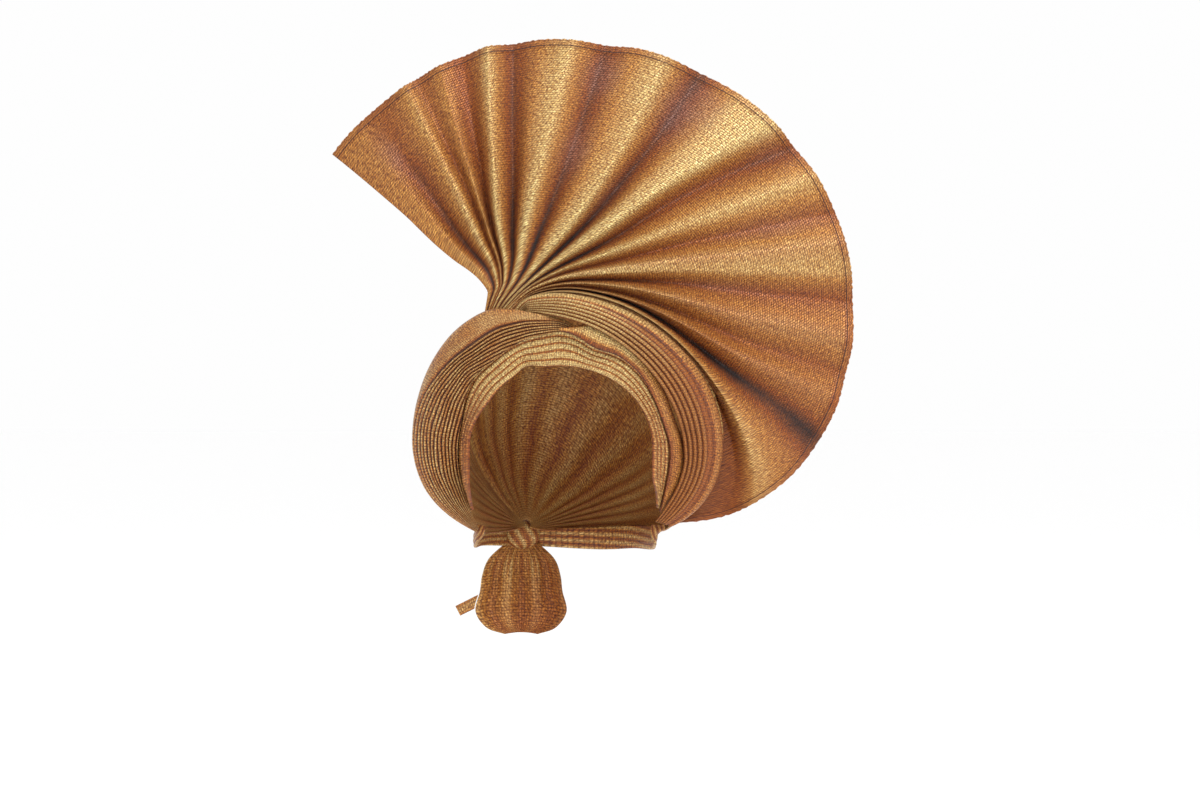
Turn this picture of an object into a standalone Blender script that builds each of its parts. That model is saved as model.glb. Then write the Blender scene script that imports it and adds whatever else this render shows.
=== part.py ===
"""A tied gele head tie: one long stiff cloth, pleated, wound round the head and tied at the nape.

The frame is metres with +Z up. The face looks along -Y and +X is the viewer's right. The origin is the
centre of the face opening at brow level, in the middle of the head, which is where a head holds the tie.
Every cloth piece is a closed wall between a face surface and a back surface, worked out from the named
sizes below and from short tables with one row for each fold or section.
"""
import math
from collections import namedtuple

import bmesh
import bpy
from mathutils import Vector

MM = 0.001

# Head form that the cloth is wound on, which is left empty
HEAD_HALF_WIDTH = 72 * MM
HEAD_HALF_DEPTH = 93 * MM
HEAD_HALF_HEIGHT = 85 * MM
HEAD_CENTRE_DROP = 10 * MM

# Face opening: half an ellipse over the brow, with straight sides below
OPENING_HALF_WIDTH = 64 * MM
OPENING_HEIGHT = 56 * MM
OPENING_EASE = 1.5 * MM

# Cloth and the gaps between its layers
CLOTH = 1.2 * MM
LAYER_GAP = 0.4 * MM

# Fan
PINCH_X = -42.8 * MM
PINCH_Z = 94.9 * MM
PINCH_DEPTH = -42.5 * MM
PINCH_WIDTH = 18 * MM
PINCH_THICKNESS = 3 * MM
FAN_REACH = 254 * MM
FAN_LEAN = 54 * MM
FAN_PLEAT = 7 * MM
FAN_STEM = 5 * MM

# Wraps
LEFT_REACH = 109 * MM
LEFT_PLEAT = 1.6 * MM
LEFT_PLEAT_COUNT = 13
LEFT_SMOOTH_STEPS = 4
LEFT_CURL_STEPS = 4
LEFT_CURL_BACK = 30 * MM
LEFT_CURL_IN = 14 * MM
RIGHT_PLEAT = 1.8 * MM
RIGHT_COVER = 2 * MM
BAND_PLEAT = 0.9 * MM
BAND_PLEAT_COUNT = 5
BAND_UNDERLAP = 3 * MM
BAND_LEAST_WIDTH = 4 * MM
COVER_LEAN = 0.25
COVER_STEEPEST = 0.9
LEAST_FACING = 0.45
TUCK_CROWN = 1.2 * MM
TUCK_WIDTH = 14 * MM

# Back of the head, knot and loose ends
BACK_EASE = 1.08
BACK_PLEAT = 1.6 * MM
BACK_PLEAT_COUNT = 10
BACK_INSET = 3.4 * MM
BACK_STEP = 2 * MM
BACK_RAISE = 0.92
BACK_SOFTEN = 0.08
FAN_INSET = 6 * MM
NAPE_CLOSE = 0.98
KNOT_HALF_WIDTH = 15 * MM
KNOT_HALF_DEPTH = 10 * MM
KNOT_HALF_HEIGHT = 12 * MM
KNOT_GROOVE = 0.08
TAIL_DROP = 61 * MM
TAIL_HALF_WIDTH = 34 * MM
TAIL_THICKNESS = 2 * MM
TAIL_FOLD = 3 * MM
TAIL_SWING = 0.22
TAIL_ROUND = 0.25
TIE_END_LENGTH = 16 * MM
TIE_END_HALF_WIDTH = 4 * MM
TIE_END_THICKNESS = 1.6 * MM
TIE_END_DROP = 0.58
TIE_END_FALL = math.radians(27)
EAR_TIE_HALF_WIDTH = 9 * MM
EAR_TIE_THICKNESS = 3 * MM

# One row for each fold of the fan, left to right: lift is +1 on a crest and -1 in a valley, fade is the
# share of it left at the rim, the four turns are degrees about the pinch at 10, 30, 60 and 100 % of the
# fold's length, reach is a share of FAN_REACH, and swell bows the last folds outwards.
FanFold = namedtuple("FanFold", "lift fade root lower upper turn reach swell")
FAN_FOLDS = [
    FanFold(0.20, 1.0, 122.0, 132.5, 135.0, 137.0, 0.650, 0.0),
    FanFold(0.35, 0.6, 113.0, 124.0, 127.5, 128.5, 0.663, 0.0),
    FanFold(-0.80, 0.3, 104.0, 116.5, 120.7, 121.5, 0.675, 0.0),
    FanFold(0.80, 0.8, 96.5, 106.5, 111.0, 113.5, 0.692, 0.0),
    FanFold(-0.50, 0.4, 91.5, 101.0, 106.8, 109.5, 0.702, 0.0),
    FanFold(0.45, 0.8, 88.5, 98.0, 102.7, 104.8, 0.716, 0.0),
    FanFold(-0.80, 0.8, 86.0, 95.0, 98.2, 98.6, 0.733, 0.0),
    FanFold(1.00, 1.0, 82.0, 91.0, 93.0, 93.2, 0.749, 0.0),
    FanFold(-1.00, 1.0, 75.0, 82.0, 86.0, 87.7, 0.762, 0.0),
    FanFold(0.30, 1.0, 71.0, 77.5, 81.0, 82.0, 0.778, 0.0),
    FanFold(1.00, 1.0, 67.5, 73.0, 74.8, 75.6, 0.794, 0.0),
    FanFold(-0.90, 1.0, 60.5, 64.0, 66.7, 68.7, 0.815, 0.0),
    FanFold(0.30, 1.0, 56.5, 57.5, 60.0, 63.0, 0.840, 0.0),
    FanFold(1.00, 1.0, 53.0, 51.0, 53.0, 57.4, 0.859, 0.0),
    FanFold(-1.10, 1.0, 49.5, 46.0, 47.5, 50.5, 0.886, 0.0),
    FanFold(0.60, 1.0, 47.0, 42.5, 42.0, 42.0, 0.918, 0.0),
    FanFold(1.00, 1.0, 44.8, 38.8, 37.5, 34.5, 0.944, 0.0),
    FanFold(-1.10, 1.0, 42.5, 34.5, 33.0, 29.8, 0.958, 0.0),
    FanFold(0.70, 1.0, 40.2, 30.0, 25.5, 23.5, 0.976, 0.0),
    FanFold(-0.80, 1.0, 38.0, 25.8, 20.0, 17.0, 0.992, 0.0),
    FanFold(0.70, 1.0, 36.4, 22.8, 15.2, 11.5, 0.997, 0.0),
    FanFold(0.55, 1.0, 34.8, 20.2, 11.2, 6.8, 1.0, 0.0),
    FanFold(-0.90, 1.0, 32.8, 17.3, 6.8, 2.0, 1.0, 0.0),
    FanFold(0.80, 1.0, 31.2, 14.2, 0.8, -5.0, 0.999, 0.0),
    FanFold(-0.70, 1.0, 29.8, 12.0, -4.0, -10.0, 0.993, 0.0),
    FanFold(0.70, 1.0, 28.4, 9.8, -7.5, -15.5, 0.986, 0.0),
    FanFold(-1.10, 1.0, 27.3, 9.5, -10.9, -22.0, 0.972, 0.0),
    FanFold(0.40, 1.0, 26.2, 7.5, -15.2, -29.5, 0.940, 0.30),
    FanFold(1.00, 1.0, 25.2, 6.2, -17.0, -37.0, 0.893, 0.55),
    FanFold(-0.60, 1.0, 24.2, 4.9, -18.5, -43.0, 0.848, 0.80),
    FanFold(-0.90, 1.0, 22.5, 3.1, -20.6, -51.4, 0.760, 1.50),
]
# The turns above are read at these shares of a fold's length, the first one at the pinch itself
FOLD_SHARES = (0.0, 0.1, 0.3, 0.6, 1.0)
ROOT_TURN_STEP = 6.0

# The innermost fold of the right wrap, in the same columns, about the same pinch
RIGHT_INNER = FanFold(-1.0, 1.0, -3.0, -10.5, -27.0, -51.5, 0.735, 0.75)
# Valleys between the pleats of the right wrap, as shares from its outer edge to its inner edge
RIGHT_VALLEYS = (0.0, 0.27, 0.44, 0.57, 0.69, 0.80, 0.90, 1.0)

# Line where the wraps leave the forehead band: turn about the origin, reach as a share of
# HEAD_HALF_WIDTH and depth as a share of HEAD_HALF_DEPTH
BandStation = namedtuple("BandStation", "turn reach depth tuck")
BAND_STATIONS = [
    BandStation(226, 1.13, -0.17, 0.0),
    BandStation(211, 1.05, -0.26, 0.0),
    BandStation(196, 1.01, -0.31, 0.0),
    BandStation(180, 0.986, -0.355, 0.0),
    BandStation(165, 0.98, -0.39, 0.0),
    BandStation(152, 1.025, -0.43, 0.0),
    BandStation(141, 1.06, -0.47, 0.0),
    BandStation(130, 1.05, -0.54, 0.0),
    BandStation(119, 1.065, -0.59, 0.0),
    BandStation(108, 1.085, -0.625, 0.0),
    BandStation(98, 1.09, -0.65, 0.0),
    BandStation(89, 1.10, -0.67, 0.45),
    BandStation(81, 1.065, -0.68, 0.75),
    BandStation(72, 1.005, -0.68, 1.0),
    BandStation(58, 1.03, -0.625, 0.7),
    BandStation(43, 1.03, -0.545, 0.5),
    BandStation(28, 1.005, -0.47, 0.5),
    BandStation(13, 1.0, -0.405, 0.5),
    BandStation(-1, 1.035, -0.33, 0.6),
    BandStation(-14, 1.05, -0.28, 0.72),
    BandStation(-26, 1.08, -0.235, 0.55),
    BandStation(-36, 1.14, -0.19, 0.3),
]
BAND_LAST_TURN = 216.0
BAND_FIRST_TURN = -33.0

# Sections of the left wrap from the brow to the ear: turn about the origin, reach of its outline as a
# share of LEFT_REACH, depth of its outline as a share of HEAD_HALF_DEPTH, share of the shown width that
# the smooth outer fold takes, and how much of the back curl there is
LeftStation = namedtuple("LeftStation", "turn reach depth smooth curl")
LEFT_STATIONS = [
    LeftStation(78, 0.735, -0.66, 0.10, 0.0),
    LeftStation(89, 0.805, -0.64, 0.14, 0.0),
    LeftStation(100, 0.850, -0.61, 0.26, 0.0),
    LeftStation(110, 0.918, -0.60, 0.38, 0.0),
    LeftStation(118, 0.975, -0.56, 0.43, 0.02),
    LeftStation(126, 0.993, -0.49, 0.44, 0.27),
    LeftStation(134, 1.0, -0.39, 0.42, 0.49),
    LeftStation(142, 0.998, -0.27, 0.35, 0.70),
    LeftStation(151, 0.993, -0.16, 0.24, 0.87),
    LeftStation(161, 0.985, -0.06, 0.11, 1.0),
    LeftStation(172, 0.979, 0.0, 0.05, 1.0),
    LeftStation(183, 0.972, 0.03, 0.04, 1.0),
    LeftStation(194, 0.948, 0.02, 0.04, 0.85),
    LeftStation(203, 0.912, -0.03, 0.04, 0.65),
    LeftStation(212, 0.865, -0.08, 0.04, 0.40),
    LeftStation(219, 0.827, -0.12, 0.04, 0.20),
    LeftStation(225, 0.798, -0.16, 0.04, 0.05),
]

# Outline of the tail: share of TAIL_DROP and half width as a share of TAIL_HALF_WIDTH
TailStation = namedtuple("TailStation", "drop half")
TAIL_STATIONS = [
    TailStation(0.0, 0.56),
    TailStation(0.14, 0.77),
    TailStation(0.30, 0.86),
    TailStation(0.48, 0.91),
    TailStation(0.70, 1.0),
    TailStation(0.90, 0.76),
    TailStation(1.0, 0.36),
]

# Where the back of the cloth is gathered at the nape, as shares of the head form's half sizes
NAPE_X = -0.41
NAPE_Y = 0.86
NAPE_Z = -0.64

# Ties from each ear to the nape: a place on the way, as shares of the head form's half sizes, and half
# the tie's width as a share of EAR_TIE_HALF_WIDTH
TieStation = namedtuple("TieStation", "x y z half")
LEFT_TIE_STATIONS = [
    TieStation(-0.84, -0.17, -0.668, 0.50),
    TieStation(-0.88, 0.25, -0.690, 0.60),
    TieStation(-0.82, 0.55, -0.695, 0.60),
]
RIGHT_TIE_STATIONS = [
    TieStation(0.92, -0.20, -0.655, 0.95),
    TieStation(0.91, 0.17, -0.675, 0.85),
    TieStation(0.73, 0.55, -0.700, 0.80),
    TieStation(0.36, 0.84, -0.736, 0.75),
]
TIE_AT_KNOT = 0.50
TIE_AT_KNOT_DROP = 4 * MM


def smooth_step(low, high, value):
    """0 below low, 1 above high and a smooth rise between them."""
    share = min(max((value - low) / (high - low), 0.0), 1.0)
    return share * share * (3.0 - 2.0 * share)


def smooth_read(knots, values, at):
    """Read a smooth curve through values, which stand at rising knots."""
    last = len(knots) - 1
    at = min(max(at, knots[0]), knots[last])
    i = 0
    while i < last - 1 and at > knots[i + 1]:
        i += 1
    slopes = [(values[j + 1] - values[j]) / (knots[j + 1] - knots[j]) for j in range(last)]

    def tangent(j):
        if j == 0:
            return slopes[0]
        if j == last:
            return slopes[last - 1]
        return 0.5 * (slopes[j - 1] + slopes[j])

    span = knots[i + 1] - knots[i]
    s = (at - knots[i]) / span
    start = values[i] * (1 + 2 * s) * (1 - s) ** 2 + tangent(i) * span * s * (1 - s) ** 2
    end = values[i + 1] * s * s * (3 - 2 * s) + tangent(i + 1) * span * s * s * (s - 1)
    return start + end


def read_rows(rows, column, share):
    """Read one column of a table whose rows are spread evenly over 0 to 1."""
    last = len(rows) - 1
    values = [getattr(row, column) for row in rows]
    return smooth_read(list(range(last + 1)), values, share * last)


def read_turns(rows, column, turn):
    """Read one column of a table whose rows stand at falling turns."""
    knots = [-row.turn for row in rows]
    values = [getattr(row, column) for row in rows]
    return smooth_read(knots, values, -turn)


def opening_reach(turn):
    """Reach of the face opening's edge at a turn about the origin."""
    c = math.cos(math.radians(turn))
    s = math.sin(math.radians(turn))
    if s > 0:
        return OPENING_HALF_WIDTH * OPENING_HEIGHT / math.hypot(OPENING_HEIGHT * c, OPENING_HALF_WIDTH * s)
    return OPENING_HALF_WIDTH / max(abs(c), 0.5)


def head_front(x, z):
    """Depth of the front of the head form, with the opening's ease, at a place in the front view."""
    across = x / (HEAD_HALF_WIDTH + OPENING_EASE)
    up = (z + HEAD_CENTRE_DROP) / (HEAD_HALF_HEIGHT + OPENING_EASE)
    left = max(1.0 - across * across - up * up, 0.04)
    return -(HEAD_HALF_DEPTH + OPENING_EASE) * math.sqrt(left)


def cover_point(turn, reach):
    """Point on the form that the band and the inner edges of the wraps lie on."""
    c = math.cos(math.radians(turn))
    s = math.sin(math.radians(turn))
    wrap = read_turns(BAND_STATIONS, "reach", turn) * HEAD_HALF_WIDTH
    edge = min(opening_reach(turn), wrap - BAND_LEAST_WIDTH)
    edge_depth = head_front(edge * c, edge * s)
    wrap_depth = read_turns(BAND_STATIONS, "depth", turn) * HEAD_HALF_DEPTH
    slope = (wrap_depth - edge_depth) / (wrap - edge)
    if reach > wrap:
        slope = min(max(slope, COVER_LEAN), COVER_STEEPEST)
    return Vector((reach * c, wrap_depth + slope * (reach - wrap), reach * s))


def cover_normal(turn, reach):
    """Direction away from the head at a point on the form."""
    step = 1.0 * MM
    out = cover_point(turn, reach + step) - cover_point(turn, reach - step)
    along = cover_point(turn + 1.0, reach) - cover_point(turn - 1.0, reach)
    normal = out.cross(along).normalized()
    return -normal if normal.y > 0 else normal


def band_edge(turn):
    """Reach of the band's edge at the face opening."""
    wrap = read_turns(BAND_STATIONS, "reach", turn) * HEAD_HALF_WIDTH
    return min(opening_reach(turn), wrap - BAND_LEAST_WIDTH)


def scallop(share, count):
    """Rounded pleats: 0 in each valley and 1 on each crest."""
    return abs(math.sin(math.pi * count * share))


# Layers of cloth over the form, as heights of their backs above it
LEFT_LAYER = CLOTH + BAND_PLEAT + LAYER_GAP
TUCK_OVER_WRAP = LEFT_LAYER + CLOTH + LEFT_PLEAT + LAYER_GAP


def tuck_layer(turn):
    """Height of the tuck's back: over the left wrap at the brow, over the band further down."""
    return LEFT_LAYER + (TUCK_OVER_WRAP - LEFT_LAYER) * smooth_step(52.0, 70.0, turn)


def right_layer(turn):
    """Height of the back of the right wrap's inner edge, which lies over the tuck."""
    return tuck_layer(turn) + CLOTH + TUCK_CROWN + 2 * LAYER_GAP


def band_surface(u, v):
    """Face and back of the forehead band: u runs out from the opening, v from the left ear to the right."""
    turn = BAND_LAST_TURN + (BAND_FIRST_TURN - BAND_LAST_TURN) * v
    edge = band_edge(turn)
    wrap = read_turns(BAND_STATIONS, "reach", turn) * HEAD_HALF_WIDTH
    reach = edge + (wrap + BAND_UNDERLAP - edge) * u
    base = cover_point(turn, reach)
    normal = cover_normal(turn, reach)
    pleat = BAND_PLEAT * scallop(u, BAND_PLEAT_COUNT)
    return base + normal * (CLOTH + pleat), base


def left_base(turn_share, along_section):
    """Base of the left wrap: along_section is 0 at the band, 1 at the outline and 2 at the back edge."""
    turn = read_rows(LEFT_STATIONS, "turn", turn_share)
    c = math.cos(math.radians(turn))
    s = math.sin(math.radians(turn))
    inner_reach = read_turns(BAND_STATIONS, "reach", turn) * HEAD_HALF_WIDTH
    inner = cover_point(turn, inner_reach) + cover_normal(turn, inner_reach) * LEFT_LAYER
    inner_out = inner.x * c + inner.z * s
    outer_out = read_rows(LEFT_STATIONS, "reach", turn_share) * LEFT_REACH - CLOTH
    outer_depth = read_rows(LEFT_STATIONS, "depth", turn_share) * HEAD_HALF_DEPTH
    over_band = cover_point(turn, outer_out).y - LEFT_LAYER
    outer_depth += (min(over_band, outer_depth) - outer_depth) * smooth_step(115.0, 95.0, turn)
    curl = read_rows(LEFT_STATIONS, "curl", turn_share)
    if along_section <= 1.0:
        reach = inner_out + (outer_out - inner_out) * along_section
        depth = outer_depth + (inner.y - outer_depth) * math.sqrt(max(1.0 - along_section ** 2, 0.0))
    else:
        back = along_section - 1.0
        reach = outer_out - LEFT_CURL_IN * curl * back * back
        depth = outer_depth + (LEFT_CURL_BACK * curl + CLOTH) * back
    return Vector((reach * c, depth, reach * s))


def left_section(share_u, turn_share):
    """Place along the section, and height of the pleat there, for a share of the grid's width."""
    smooth = read_rows(LEFT_STATIONS, "smooth", turn_share)
    pleated = LEFT_PLEAT_COUNT * 2
    step = share_u * (pleated + LEFT_SMOOTH_STEPS + LEFT_CURL_STEPS)
    if step <= pleated:
        part = step / pleated
        return (1.0 - smooth) * part, scallop(part, LEFT_PLEAT_COUNT)
    if step <= pleated + LEFT_SMOOTH_STEPS:
        part = (step - pleated) / LEFT_SMOOTH_STEPS
        return 1.0 - smooth * (1.0 - part), math.sin(math.pi * min(part, 0.5))
    return 1.0 + (step - pleated - LEFT_SMOOTH_STEPS) / LEFT_CURL_STEPS, 1.0


def left_surface(u, v):
    """Face and back of the left wrap: u runs out from the band, v from the brow to the ear."""
    place, pleat = left_section(u, v)
    base = left_base(v, place)
    step = 0.02
    low = left_base(v, max(place - step, 0.0))
    high = left_base(v, min(place + step, 2.0))
    before = left_base(max(v - step, 0.0), place)
    after = left_base(min(v + step, 1.0), place)
    normal = (high - low).cross(after - before).normalized()
    turn = math.radians(read_rows(LEFT_STATIONS, "turn", v))
    outward = Vector((math.cos(turn), -1.0, math.sin(turn)))
    if normal.dot(outward) < 0:
        normal = -normal
    width = (left_base(v, 1.0) - left_base(v, 0.0)).length / LEFT_PLEAT_COUNT
    height = min(LEFT_PLEAT, 0.5 * width) * pleat
    return base + normal * (CLOTH + height), base


def fold_turn(fold, share):
    """Turn about the pinch, in degrees, at a share of a fold's length."""
    turns = (fold.root + ROOT_TURN_STEP, fold.root, fold.lower, fold.upper, fold.turn)
    return smooth_read(FOLD_SHARES, turns, share)


def fold_reach(fold, share):
    """Distance from the pinch at a share of a fold's length."""
    return fold.reach * FAN_REACH * (share + fold.swell * share * share * (1.0 - share))


def fold_place(fold, share, root_share):
    """Place of a point of a fold in the front view."""
    turn = math.radians(fold_turn(fold, share))
    reach = fold_reach(fold, share)
    near = max(1.0 - share / 0.1, 0.0)
    x = PINCH_X + reach * math.cos(turn) + PINCH_WIDTH * (root_share - 0.5) * near
    z = PINCH_Z + reach * math.sin(turn)
    stem = FAN_STEM * near * near
    return x - 0.5 * stem, z - 0.85 * stem


def blend_folds(first, second, share):
    """A fold between two folds of the table."""
    return FanFold(*[a + (b - a) * share for a, b in zip(first, second)])


def fan_fold(u):
    """The fan's fold at a share of its width, read smoothly from the table."""
    return FanFold(*[read_rows(FAN_FOLDS, column, u) for column in FanFold._fields])


def fan_depth(reach):
    """Depth of the fan's sheet, which leans back as it leaves the pinch."""
    return PINCH_DEPTH + FAN_LEAN * (reach / FAN_REACH) ** 1.6


def fan_surface(u, v):
    """Face and back of the fan: u runs over the folds from left to right, v from the pinch to the rim."""
    fold = fan_fold(u)
    x, z = fold_place(fold, v, u)
    reach = math.hypot(x - PINCH_X, z - PINCH_Z)
    growth = smooth_step(0.0, 0.45, v) * (1.0 - (1.0 - fold.fade) * smooth_step(0.5, 1.0, v))
    lift = FAN_PLEAT * fold.lift * growth
    wall = CLOTH + (PINCH_THICKNESS - CLOTH) * (1.0 - smooth_step(0.0, 0.25, v))
    depth = fan_depth(reach)
    return Vector((x, depth - lift, z)), Vector((x, depth - lift + wall, z))


def right_fold(share):
    """A fold of the right wrap, from its outer edge at 0 to its inner edge at 1."""
    return blend_folds(FAN_FOLDS[-1], RIGHT_INNER, share)


def right_edge_depth(v, x, z):
    """Depth of the back of the right wrap's inner edge, which rises from the pinch onto the form."""
    turn = math.degrees(math.atan2(z, x))
    reach = math.hypot(x, z)
    height = right_layer(turn) / max(-cover_normal(turn, reach).y, LEAST_FACING)
    start = PINCH_DEPTH - CLOTH
    return start + (cover_point(turn, reach).y - height - start) * smooth_step(0.0, 0.24, v)


def right_base(share, v):
    """Base of the right wrap."""
    x, z = fold_place(right_fold(share), v, 1.0 + 0.6 * share)
    outer_x, outer_z = fold_place(right_fold(0.0), v, 1.0)
    inner_x, inner_z = fold_place(right_fold(1.0), v, 1.6)
    outer = fan_depth(math.hypot(outer_x - PINCH_X, outer_z - PINCH_Z)) - CLOTH - LAYER_GAP
    inner = right_edge_depth(v, inner_x, inner_z)
    rise = math.sqrt(max(1.0 - (1.0 - share) ** 2, 0.0))
    return Vector((x, outer + (inner - outer) * rise, z))


def right_surface(u, v):
    """Face and back of the right wrap: u runs in from the fan's last fold, v from the pinch to the ear."""
    pleats = len(RIGHT_VALLEYS) - 1
    pleat = min(int(u * pleats), pleats - 1)
    part = u * pleats - pleat
    share = RIGHT_VALLEYS[pleat] + (RIGHT_VALLEYS[pleat + 1] - RIGHT_VALLEYS[pleat]) * part
    base = right_base(share, v)
    width = (right_base(1.0, v) - right_base(0.0, v)).length * (RIGHT_VALLEYS[pleat + 1] - RIGHT_VALLEYS[pleat])
    height = min(RIGHT_PLEAT, 0.45 * width) * math.sin(math.pi * part)
    step = 0.02
    across = right_base(min(share + step, 1.0), v) - right_base(max(share - step, 0.0), v)
    along = right_base(share, min(v + step, 1.0)) - right_base(share, max(v - step, 0.0))
    normal = across.cross(along).normalized()
    if normal.y > 0:
        normal = -normal
    return base + normal * (CLOTH + height), base


def tuck_surface(u, v):
    """Face and back of the tucked strip: u runs out from its lower edge, v from the brow to the right ear."""
    turn = 90.0 - 124.0 * v
    width = read_turns(BAND_STATIONS, "tuck", turn) * TUCK_WIDTH + RIGHT_COVER * smooth_step(0.0, 0.2, v)
    reach = read_turns(BAND_STATIONS, "reach", turn) * HEAD_HALF_WIDTH + width * u
    normal = cover_normal(turn, reach)
    base = cover_point(turn, reach) + normal * tuck_layer(turn)
    return base + normal * (CLOTH + TUCK_CROWN * math.sin(math.pi * u)), base


def head_share(point):
    """A point as shares of the head form's half sizes, from the form's centre."""
    return Vector((point.x / HEAD_HALF_WIDTH, point.y / HEAD_HALF_DEPTH,
                   (point.z + HEAD_CENTRE_DROP) / HEAD_HALF_HEIGHT))


def head_point(share):
    """The point that lies at the given shares of the head form's half sizes."""
    return Vector((share.x * HEAD_HALF_WIDTH, share.y * HEAD_HALF_DEPTH,
                   share.z * HEAD_HALF_HEIGHT - HEAD_CENTRE_DROP))


def back_rim(u):
    """Front edge of the back wrap, inside the left wrap's back edge and behind the fan's last fold."""
    if u < 0.5:
        v = 1.0 - 0.72 * u / 0.5
        curl = read_rows(LEFT_STATIONS, "curl", v)
        point = left_base(v, 2.0)
        inward = Vector((point.x, 0.0, point.z)).normalized()
        inset = BACK_INSET * (0.4 + 0.6 * curl)
        return point - inward * inset + Vector((0.0, BACK_STEP * (1.0 - 2.0 * curl), 0.0))
    v = 0.03 + 0.97 * (u - 0.5) / 0.5
    x, z = fold_place(FAN_FOLDS[-1], v, 1.0)
    inward = Vector((x, 0.0, z)).normalized()
    behind = (PINCH_THICKNESS + 2 * CLOTH) * smooth_step(0.35, 0.15, v) - CLOTH
    depth = fan_depth(math.hypot(x - PINCH_X, z - PINCH_Z)) + behind
    return Vector((x, depth, z)) - inward * FAN_INSET


def smooth_rim(u, spread):
    """The back wrap's front edge, evened out over a share of its length."""
    rim = Vector((0.0, 0.0, 0.0))
    for offset in (-spread, -0.5 * spread, 0.0, 0.5 * spread, spread):
        rim += back_rim(min(max(u + offset, 0.0), 1.0)) / 5.0
    return head_share(rim)


def back_base(u, v):
    """Base of the back wrap: u runs round its front edge, v from that edge to the nape."""
    start = smooth_rim(u, 0.03)
    nape = Vector((NAPE_X, NAPE_Y, NAPE_Z)).normalized()
    near = (start.length - BACK_EASE) * (1.0 - v) ** 6
    far = (smooth_rim(u, 0.16).length - BACK_EASE) * ((1.0 - v) ** 1.5 - (1.0 - v) ** 6)
    scale = BACK_EASE + near + far
    direction = start.normalized().slerp(nape, v * NAPE_CLOSE)
    level = start.z / start.length + (nape.z - start.z / start.length) * v
    dip = max(level - direction.z, 0.0)
    height = direction.z + BACK_RAISE * dip * dip / (dip + BACK_SOFTEN)
    spread = math.sqrt(1.0 - height * height) / math.hypot(direction.x, direction.y)
    direction = Vector((direction.x * spread, direction.y * spread, height))
    return head_point(direction * scale)


def back_surface(u, v):
    """Face and back of the back wrap."""
    base = back_base(u, v)
    outward = (base - Vector((0.0, 0.0, -HEAD_CENTRE_DROP))).normalized()
    height = BACK_PLEAT * scallop(u, BACK_PLEAT_COUNT) * smooth_step(0.05, 0.5, v) * smooth_step(1.0, 0.7, v)
    return base + outward * (CLOTH + height), base


def knot_centre():
    """Centre of the knot, which rests on the gathered cloth at the nape."""
    nape = head_point(Vector((NAPE_X, NAPE_Y, NAPE_Z)).normalized() * BACK_EASE)
    outward = (nape - Vector((0.0, 0.0, -HEAD_CENTRE_DROP))).normalized()
    rest = math.hypot(KNOT_HALF_WIDTH * outward.x, KNOT_HALF_DEPTH * outward.y, KNOT_HALF_HEIGHT * outward.z)
    return nape + outward * (CLOTH + LAYER_GAP + rest)


def ear_tie_surface(ear_stations, side, rest):
    """Face and back of a tie from an ear to the knot, where its middle stops a rest away from the knot."""
    beside = head_share(knot_centre() + Vector((side * (KNOT_HALF_WIDTH + rest), 0.0, -TIE_AT_KNOT_DROP)))
    stations = ear_stations + [TieStation(beside.x, beside.y, beside.z, TIE_AT_KNOT)]

    def centre(v):
        return head_point(Vector([read_rows(stations, column, v) for column in ("x", "y", "z")]))

    def surface(u, v):
        middle = centre(v)
        along = (centre(min(v + 0.02, 1.0)) - centre(max(v - 0.02, 0.0))).normalized()
        outward = Vector((middle.x, middle.y, 0.0)).normalized()
        across = along.cross(outward).normalized()
        if across.z < 0:
            across = -across
        out = across.cross(along).normalized()
        if out.dot(outward) < 0:
            out = -out
        place = 2.0 * u - 1.0
        half = read_rows(stations, "half", v) * EAR_TIE_HALF_WIDTH
        wall = EAR_TIE_THICKNESS * math.sqrt(1.0 - 0.8 * place * place)
        base = middle + across * half * place
        return base + out * 0.5 * wall, base - out * 0.5 * wall
    return surface


def tail_surface(u, v):
    """Face and back of the tail: u runs over its width, v hangs down from the knot."""
    base = tail_place(2.0 * u - 1.0, v)
    return base + Vector((0.0, TAIL_THICKNESS, 0.0)), base


def tail_place(side, v):
    """Place on the inner side of the tail: side runs from -1 to 1 over its width, v from 0 to 1 down it."""
    top = knot_centre()
    half = read_rows(TAIL_STATIONS, "half", v) * TAIL_HALF_WIDTH
    drop = read_rows(TAIL_STATIONS, "drop", v) * TAIL_DROP
    fold = TAIL_FOLD * math.cos(3.0 * math.pi * side) * smooth_step(0.0, 0.4, v)
    depth = top.y - TAIL_SWING * drop - TAIL_ROUND * half * side * side + fold
    height = top.z - KNOT_HALF_HEIGHT - LAYER_GAP - drop - 0.1 * half * side * side * v
    return Vector((top.x + side * half, depth, height))


def tie_end_surface(u, v):
    """Face and back of the loose end: u runs over its width, v out from the tail's left edge."""
    out = Vector((-math.cos(TIE_END_FALL), 0.0, -math.sin(TIE_END_FALL)))
    up = Vector((-math.sin(TIE_END_FALL), 0.0, math.cos(TIE_END_FALL))) * TIE_END_HALF_WIDTH * (2.0 * u - 1.0)
    root = tail_place(-1.0, TIE_END_DROP - up.z / TAIL_DROP) + out * 2.0 * LAYER_GAP
    tip = tail_place(-1.0, TIE_END_DROP) + out * TIE_END_LENGTH + up
    base = root + (tip - root) * v
    return base + Vector((0.0, TIE_END_THICKNESS, 0.0)), base


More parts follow.
